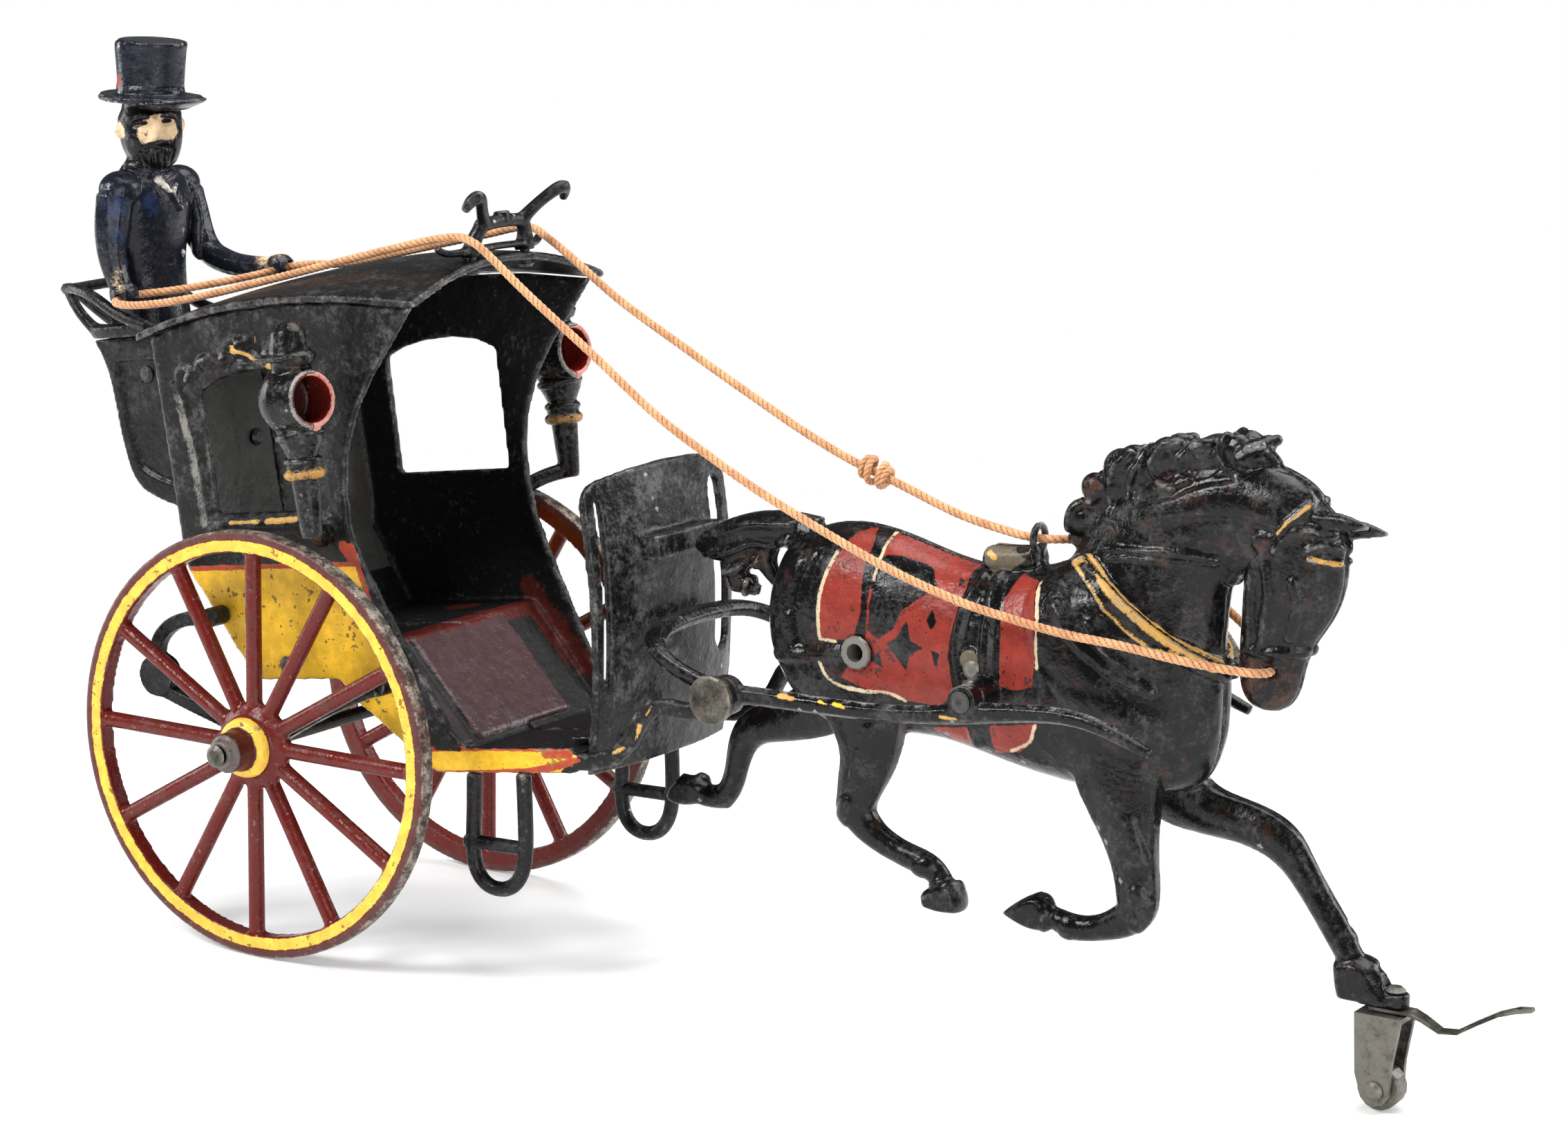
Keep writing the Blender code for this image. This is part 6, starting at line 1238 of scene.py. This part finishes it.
HARNESS = (  # lines of the harness and the head on a side view, with half width and height in mm
    ([(111.4, 74.8), (120.9, 76.2), (126.8, 77.2)], 1.6, 0.6),
    ([(155.6, 94.8), (154.0, 89.0), (153.4, 84.0), (153.6, 78.6), (155.4, 72.4)], 1.3, 0.9),
    ([(158.9, 95.4), (159.7, 88.4), (160.0, 82.0), (160.4, 76.0), (160.0, 69.0)], 1.5, 0.9),
    ([(156.6, 68.6), (156.4, 62.5)], 1.6, 0.7),
    ([(183.2, 104.2), (191.1, 104.7), (198.0, 105.0), (205.7, 104.6)], 0.6, 0.5),
    ([(183.5, 102.7), (191.2, 103.3), (198.1, 103.6), (205.4, 103.4)], 0.5, 0.4),
    ([(218.3, 110.8), (220.9, 113.7), (223.4, 115.9)], 0.8, 0.5),
    ([(217.4, 109.9), (214.0, 105.0), (209.1, 102.6), (207.0, 99.6)], 1.2, 0.6),
    ([(212.2, 104.0), (211.9, 96.8), (212.4, 87.6)], 0.9, 0.5),
    ([(215.6, 104.6), (216.6, 99.1), (215.7, 92.4), (214.8, 87.2)], 1.0, 0.6),
    ([(212.0, 87.3), (218.7, 87.6), (223.4, 87.9)], 1.1, 0.6),
    ([(178.4, 95.2), (185.7, 88.4), (191.8, 83.8), (199.5, 80.8)], 0.7, -0.5),
    ([(181.1, 89.8), (184.7, 85.6), (191.9, 81.4)], 0.9, 0.5),
    ([(174.3, 92.0), (180.4, 85.8), (187.2, 81.2), (195.0, 78.2)], 1.2, 0.6),
    ([(224.2, 108.3), (226.2, 109.2), (228.6, 108.8), (229.8, 107.6)], 0.7, 0.6),
    ([(224.4, 106.6), (226.8, 105.9), (229.2, 105.5)], 0.6, 0.5),
    ([(217.8, 107.6), (220.4, 110.6), (224.8, 112.1), (227.4, 110.8)], 1.0, 0.8),
    ([(219.6, 108.6), (222.0, 110.2), (225.2, 110.6)], 0.6, -0.7),
    ([(211.2, 80.6), (215.8, 82.0), (218.0, 81.6)], 0.5, -0.7),
    ([(220.6, 82.6), (221.9, 81.6), (221.2, 80.2)], 0.7, -0.6),
    ([(221.6, 101.6), (222.6, 98.4), (221.9, 94.6), (220.6, 91.0)], 1.2, 0.5),
    ([(219.2, 104.4), (220.2, 98.0), (219.0, 91.0)], 0.8, -0.4))
HAIR = (  # locks of the mane and strands of the tail
    ([(172.8, 106.4), (174.0, 110.6), (177.4, 112.4)], 0.9, 0.7),
    ([(175.6, 105.4), (176.2, 108.6), (179.2, 110.6)], 0.8, -0.7),
    ([(180.2, 110.4), (179.4, 114.2), (180.4, 118.0)], 0.9, -0.8),
    ([(181.8, 110.6), (181.4, 115.0), (183.0, 119.6), (186.2, 123.4)], 0.9, 0.6),
    ([(184.2, 111.4), (183.6, 115.4), (185.4, 119.8), (188.0, 123.2)], 0.6, -0.6),
    ([(186.4, 112.4), (185.8, 116.4), (187.4, 120.6), (189.4, 123.6)], 0.9, 0.7),
    ([(189.2, 113.8), (188.2, 117.4), (189.2, 121.2), (191.6, 125.2)], 0.8, -0.9),
    ([(195.6, 116.6), (192.2, 117.8), (190.6, 121.0), (192.2, 124.4), (195.6, 125.4)], 0.9, 0.8),
    ([(194.1, 118.8), (193.6, 121.6), (195.2, 123.8)], 0.8, -0.9),
    ([(196.6, 119.0), (196.6, 122.6), (199.0, 125.2), (202.4, 126.0)], 0.9, 0.6),
    ([(198.6, 120.6), (199.8, 123.2), (203.2, 123.4), (203.4, 121.2), (200.4, 119.8)], 1.5, -0.8),
    ([(208.8, 120.4), (205.9, 122.7), (204.8, 125.2), (205.8, 127.7)], 0.9, 0.8),
    ([(209.6, 121.0), (207.4, 124.1), (208.3, 127.0)], 0.7, -0.9),
    ([(208.9, 124.6), (210.7, 125.9), (213.6, 127.0)], 0.9, 0.8),
    ([(182.7, 110.4), (189.0, 113.4), (196.4, 116.0), (201.8, 118.6), (208.4, 120.3), (213.0, 123.2)],
     1.0, -0.6),
    ([(186.0, 95.0), (184.6, 91.0)], 0.5, 0.2),
    ([(88.0, 95.2), (93.0, 96.4), (98.6, 98.6), (103.6, 99.2), (109.0, 99.8)], 0.9, 0.6),
    ([(88.0, 93.4), (93.0, 94.4), (98.0, 96.4), (104.0, 97.0)], 0.7, -0.7),
    ([(88.0, 91.6), (93.6, 92.6), (99.0, 94.8), (104.0, 95.0), (108.6, 96.6)], 0.9, 0.6),
    ([(88.6, 89.6), (93.6, 90.6), (98.6, 92.6), (102.6, 92.8)], 0.7, -0.7),
    ([(91.0, 87.6), (95.2, 89.0), (98.8, 91.8)], 0.9, 0.6),
    ([(97.0, 84.0), (98.0, 88.0), (100.6, 91.4)], 0.8, 0.6),
    ([(101.0, 86.0), (101.4, 89.6), (103.6, 92.8)], 0.7, -0.6))
MUSCLES = (
    ([(112.0, 92.0), (110.6, 84.0), (112.6, 76.0), (118.0, 70.0)], 4.5, 0.8),
    ([(116.6, 93.6), (114.6, 88.4), (113.8, 84.4)], 0.9, -0.5),
    ([(118.4, 96.0), (116.6, 91.6), (116.2, 86.0)], 1.2, 0.5),
    ([(172.0, 92.0), (175.6, 84.0), (182.0, 76.0), (190.0, 70.0)], 5.0, 0.7),
    ([(192.0, 112.0), (200.0, 115.6), (210.0, 117.6), (219.0, 116.0)], 5.0, 0.9),
    ([(186.0, 106.6), (198.0, 110.4), (208.0, 111.4), (214.0, 109.4)], 1.6, -0.5),
    ([(196.6, 101.0), (203.0, 95.0), (206.0, 88.0)], 2.0, -0.5))
LEGS_NEAR = (  # coronets, fetlocks, hocks and knees, with half width and height
    ([(145.2, 31.0), (149.0, 32.6), (153.2, 34.2)], 0.9, 0.6),
    ([(145.8, 32.4), (150.0, 34.6), (152.4, 36.0)], 0.7, -0.5), ([(144.6, 34.6), (147.0, 36.8)], 1.8, 0.5),
    ([(173.6, 27.0), (174.4, 33.2)], 0.9, 0.6), ([(175.4, 27.2), (175.8, 31.6)], 0.7, -0.5),
    ([(178.0, 27.0), (178.6, 30.4)], 1.6, 0.4), ([(193.6, 37.6), (196.4, 34.4), (194.0, 31.4)], 2.0, 0.6),
    ([(128.0, 46.0), (126.6, 42.6)], 2.0, 0.6), ([(131.6, 42.4), (138.0, 39.0), (144.0, 37.4)], 0.7, -0.45),
    ([(188.0, 30.6), (181.0, 29.4)], 0.7, -0.45), ([(191.4, 52.0), (194.6, 44.0)], 1.4, 0.4),
    ([(133.4, 62.0), (130.4, 52.0)], 1.6, 0.4))
LEGS_FAR = (
    ([(229.4, 28.0), (238.4, 28.2)], 0.9, 0.6), ([(230.6, 29.8), (236.6, 30.4)], 0.7, -0.5),
    ([(228.6, 33.4), (231.4, 31.6)], 1.8, 0.5), ([(80.6, 34.4), (80.0, 40.6)], 0.9, 0.6),
    ([(214.6, 50.8), (218.8, 46.2)], 2.0, 0.6), ([(206.0, 52.4), (213.0, 50.0)], 1.2, 0.4),
    ([(218.0, 43.0), (226.6, 32.8)], 0.7, -0.5), ([(221.8, 44.4), (229.8, 34.8)], 0.7, 0.4),
    ([(90.0, 49.6), (88.8, 42.0)], 0.7, -0.4), ([(232.4, 24.8), (239.0, 24.2)], 0.5, -0.35))
MANE_LOBES = ((175.2, 108.4, 3.4), (177.9, 114.8, 3.1), (183.6, 119.0, 4.2), (193.4, 122.0, 4.4),
              (200.6, 124.2, 2.6), (207.6, 124.8, 3.6), (211.4, 126.0, 1.8))


class CABTOY_OT_horse(bpy.types.Operator):
    """Cast the two halves of the horse with harness relief and paint"""
    bl_idname = "cab_toy.horse"
    bl_label = "Horse"

    def execute(self, context):
        zones = (("brown", paint().rust, 0.4), ("grey", "#665d4e", 0.4), ("red", paint().red, 0.27),
                 ("cream", paint().cream, 0.4), ("gold", paint().gold, 0.36), ("dab", paint().gold, 0.3))
        finish = enamelled("black enamel horse with red harness panels", paint().black, zones,
                           gloss=0.13, lift=0.35, rust=0.3)
        for word, side in (("near", -1.0), ("far", 1.0)):
            piece = rounded(node_copy("horse_" + word, "horse_casting_" + word))
            lobes = [ball(at(x, side * 2.7, z), (radius, 2.3, radius)) for x, z, radius in MANE_LOBES]
            join(piece, *lobes)
            cast(piece, sizes().horse_voxel, 3)
            self.dress(piece, side)
            finish_piece(piece, HORSE, finish, "black_enamel", "horse_" + word)
        return {"FINISHED"}

    def dress(self, piece, side):
        points = measured_points(piece)
        flat = points[:, [0, 2]]
        facing = point_normals(piece)[:, 1] * side
        outer = (facing > -0.2) & (points[:, 1] * side > 0.7)
        legs = LEGS_NEAR if side < 0.0 else LEGS_FAR
        heights = RELIEF_DEPTH * sum(relief(flat, drawn) for drawn in (HARNESS, HAIR, MUSCLES))
        heights += relief(flat, legs) + relief(flat, [(line, half, COLLAR_LIFT) for line, half in GOLD_LINES])
        for place, radius, lift in ROSETTES:
            heights = np.maximum(heights, lift * round_step(in_dot(flat, place, radius), radius * 0.6))
        heights = heights * np.clip((facing + 0.2) / 0.5, 0.0, 1.0)
        raise_relief(piece, np.where(outer, heights, 0.0))
        modified(piece, "SMOOTH", factor=0.5, iterations=1)
        painted = facing > 0.1
        chips = areas(flat, PANEL_CHIPS)
        red = areas(flat, RED_PANELS)
        mark(piece, "red", only(np.minimum(red, -chips), painted))
        mark(piece, "cream", only(smooth_strokes(flat, CREAM_LINES), painted))
        mark(piece, "gold", only(smooth_strokes(flat, GOLD_LINES), painted))
        mark(piece, "dab", only(strokes(flat, GOLD_DABS), painted))
        tan = most(inside_area(flat, TAN_PATCH), in_dot(flat, *TAN_SPOT))
        mark(piece, "grey", only(tan, facing > -0.5))
        muzzle = 86.5 - points[:, 2] - np.abs(points[:, 0] - 217.0) * 0.25
        worn_lip = np.where(points[:, 0] > 209.0, np.clip(muzzle, -9.0, 1.0) * 0.06 - 0.1, -4.0)
        worn_spots = np.minimum(dots(flat, BROWN_SPOTS), 0.2) * 0.3 - 0.08
        mark(piece, "brown", only(np.maximum(worn_lip, worn_spots), painted))


SHAFT_YELLOW = (([(128.6, 69.6), (130.6, 69.2)], 0.5), ([(132.0, 69.6), (134.6, 69.2)], 0.6))
SHAFT_GOLD = (([(119.6, 69.6), (122.8, 69.4)], 0.6), ([(156.3, 70.4), (159.8, 70.4)], 0.5))


class CABTOY_OT_shafts(bpy.types.Operator):
    """Cast the pair of shafts"""
    bl_idname = "cab_toy.shafts"
    bl_label = "Shafts"

    def execute(self, context):
        # Besides the yellow and gold chips, the light grey zone is a painted highlight.
        zones = (("silver", "#85837f", 0.26), ("yellow", paint().yellow, 0.35), ("gold", paint().gold, 0.4))
        finish = enamelled("black enamel on the shafts", paint().black, zones, gloss=0.16, lift=0.4)
        piece = plain_casting("shaft_frame", "shaft_casting", sizes().small_voxel, 5, HORSE, finish)
        points = measured_points(piece)
        flat = points[:, [0, 2]]
        upward = point_normals(piece)[:, 2]
        # Painted highlight: light grey along the upward faces of the shafts' bars.
        mark(piece, "silver", only(upward - 0.96, (np.abs(points[:, 1]) > 19.0) & (points[:, 0] > 112.0)))
        outer = np.abs(points[:, 1]) > 21.0
        mark(piece, "yellow", only(strokes(flat, SHAFT_YELLOW) - 0.3, outer))
        mark(piece, "gold", only(strokes(flat, SHAFT_GOLD) - 0.2, outer))
        return {"FINISHED"}


STEEL_NODES = ("axle", "clevis", "dash_rivet_far", "dash_rivet_near", "front_wheel", "hoof_rivet",
               "pivot_pin_far", "pivot_pin_near", "pull_tongue", "wheel_rivet")
BLACK_NODES = ("driver_pin", "guide_rivet_far", "guide_rivet_near", "perch_rivet_far", "perch_rivet_near",
               "tie_rod", "tug_rivet_far", "tug_rivet_near")
BUFF_NODES = ("flank_eyelet", "horse_rivet")


class CABTOY_OT_fasteners(bpy.types.Operator):
    """Give the pins, rivets, clevis and small wheel their finishes"""
    bl_idname = "cab_toy.fasteners"
    bl_label = "Pins, rivets and clevis"

    def execute(self, context):
        buff = finish_of("buff", enamelled, "buff enamel on the eyelet", "#5f574a", (),
                         wear=0.6, gloss=0.35, lift=0.0)
        sound = finish_of("sound", enamelled, "sound black enamel on the rivet heads", paint().black, (),
                          wear=0.25, gloss=0.3, lift=0.2)
        for names, finish in ((STEEL_NODES, steel()), (BLACK_NODES, sound), (BUFF_NODES, buff)):
            for name in names:
                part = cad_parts[name]
                part.data.materials.clear()
                part.data.materials.append(finish)
        return {"FINISHED"}


# Stage

LIGHTS = (  # name, place, size and power of the soft boxes
    ("key", (-0.55, -0.9, 0.95), 0.45, 17.0), ("fill", (1.0, -0.75, 0.35), 0.7, 7.0),
    ("top", (0.15, 0.25, 1.1), 0.9, 14.0), ("left", (-1.1, -0.2, 0.3), 0.45, 4.0),
    ("rim", (0.75, 0.85, 0.55), 0.6, 8.0))
LIGHTS_AIM = (0.0, 0.0, 0.07)
WHITE = (1.0, 1.0, 1.0, 1.0)


class CABTOY_OT_stage(bpy.types.Operator):
    """Lay the pale floor and set the soft studio light"""
    bl_idname = "cab_toy.stage"
    bl_label = "Stage"

    def execute(self, context):
        deselect()
        bpy.ops.mesh.primitive_grid_add(x_subdivisions=2, y_subdivisions=2, size=6.0,
                                        location=(0.0, 0.0, -0.0002))
        floor = bpy.context.active_object
        floor.name = "floor"
        settle(floor)
        material, tree, shader = fresh_material("pale studio paper")
        shader.inputs["Base Color"].default_value = (0.8, 0.8, 0.8, 1.0)
        shader.inputs["Roughness"].default_value = 0.9
        place = node(tree, "ShaderNodeTexCoord").outputs["Object"]
        reach = node(tree, "ShaderNodeVectorMath", {"operation": "LENGTH"}, in0=place).outputs["Value"]
        seen = node(tree, "ShaderNodeLightPath").outputs["Is Camera Ray"]
        far = times(tree, ramp(tree, reach, 0.18, 0.42), seen)
        lifted = node(tree, "ShaderNodeEmission", Color=WHITE, Strength=0.22)
        near = node(tree, "ShaderNodeAddShader", in0=shader.outputs[0], in1=lifted.outputs[0])
        white = node(tree, "ShaderNodeEmission", Color=WHITE, Strength=1.0)
        shown = node(tree, "ShaderNodeMixShader", in0=far, in1=near.outputs[0], in2=white.outputs[0])
        output = [item for item in tree.nodes if item.type == "OUTPUT_MATERIAL"][0]
        tree.links.new(shown.outputs[0], output.inputs[0])
        floor.data.materials.append(material)
        world = bpy.data.worlds.new("studio")
        context.scene.world = world
        world.use_nodes = True
        tree = world.node_tree
        tree.nodes.clear()
        path = node(tree, "ShaderNodeLightPath")
        dim = node(tree, "ShaderNodeBackground", Color=WHITE, Strength=0.13)
        white = node(tree, "ShaderNodeBackground", Color=WHITE, Strength=1.0)
        mixed = node(tree, "ShaderNodeMixShader", in0=path.outputs["Is Camera Ray"], in1=dim.outputs[0],
                     in2=white.outputs[0])
        node(tree, "ShaderNodeOutputWorld", Surface=mixed.outputs[0])
        for name, place, size, power in LIGHTS:
            light = bpy.data.lights.new(name, "AREA")
            light.size = size
            light.energy = power
            lamp = bpy.data.objects.new(name, light)
            context.scene.collection.objects.link(lamp)
            lamp.location = place
            lamp.rotation_euler = (Vector(LIGHTS_AIM) - Vector(place)).to_track_quat("-Z", "Y").to_euler()
        context.scene.view_settings.view_transform = "Standard"
        return {"FINISHED"}


OPERATORS = (CABTOY_OT_camera, CABTOY_OT_reins, CABTOY_OT_cab_sides, CABTOY_OT_roof, CABTOY_OT_dash,
             CABTOY_OT_running_gear, CABTOY_OT_lamps, CABTOY_OT_wheels, CABTOY_OT_driver, CABTOY_OT_horse,
             CABTOY_OT_shafts, CABTOY_OT_fasteners, CABTOY_OT_stage)


class CABTOY_PT_panel(bpy.types.Panel):
    """Cab toy pieces"""
    bl_idname = "CABTOY_PT_panel"
    bl_label = "Cab toy"
    bl_space_type = "VIEW_3D"
    bl_region_type = "UI"
    bl_category = "Cab toy"

    def draw(self, context):
        for group in (context.scene.cab_toy_paint, context.scene.cab_toy_sizes):
            box = self.layout.box()
            for name in group.__annotations__:
                box.prop(group, name)
        for operator in OPERATORS:
            self.layout.operator(operator.bl_idname)


CLASSES = (CabToyPaint, CabToySizes) + OPERATORS + (CABTOY_PT_panel,)


def register():
    for item in CLASSES:
        bpy.utils.register_class(item)
    bpy.types.Scene.cab_toy_paint = bpy.props.PointerProperty(type=CabToyPaint)
    bpy.types.Scene.cab_toy_sizes = bpy.props.PointerProperty(type=CabToySizes)


def unregister():
    del bpy.types.Scene.cab_toy_sizes
    del bpy.types.Scene.cab_toy_paint
    for item in reversed(CLASSES):
        bpy.utils.unregister_class(item)


def main():
    register()
    for operator in OPERATORS:
        group, name = operator.bl_idname.split(".")
        getattr(getattr(bpy.ops, group), name)()


if __name__ == "__main__":
    main()
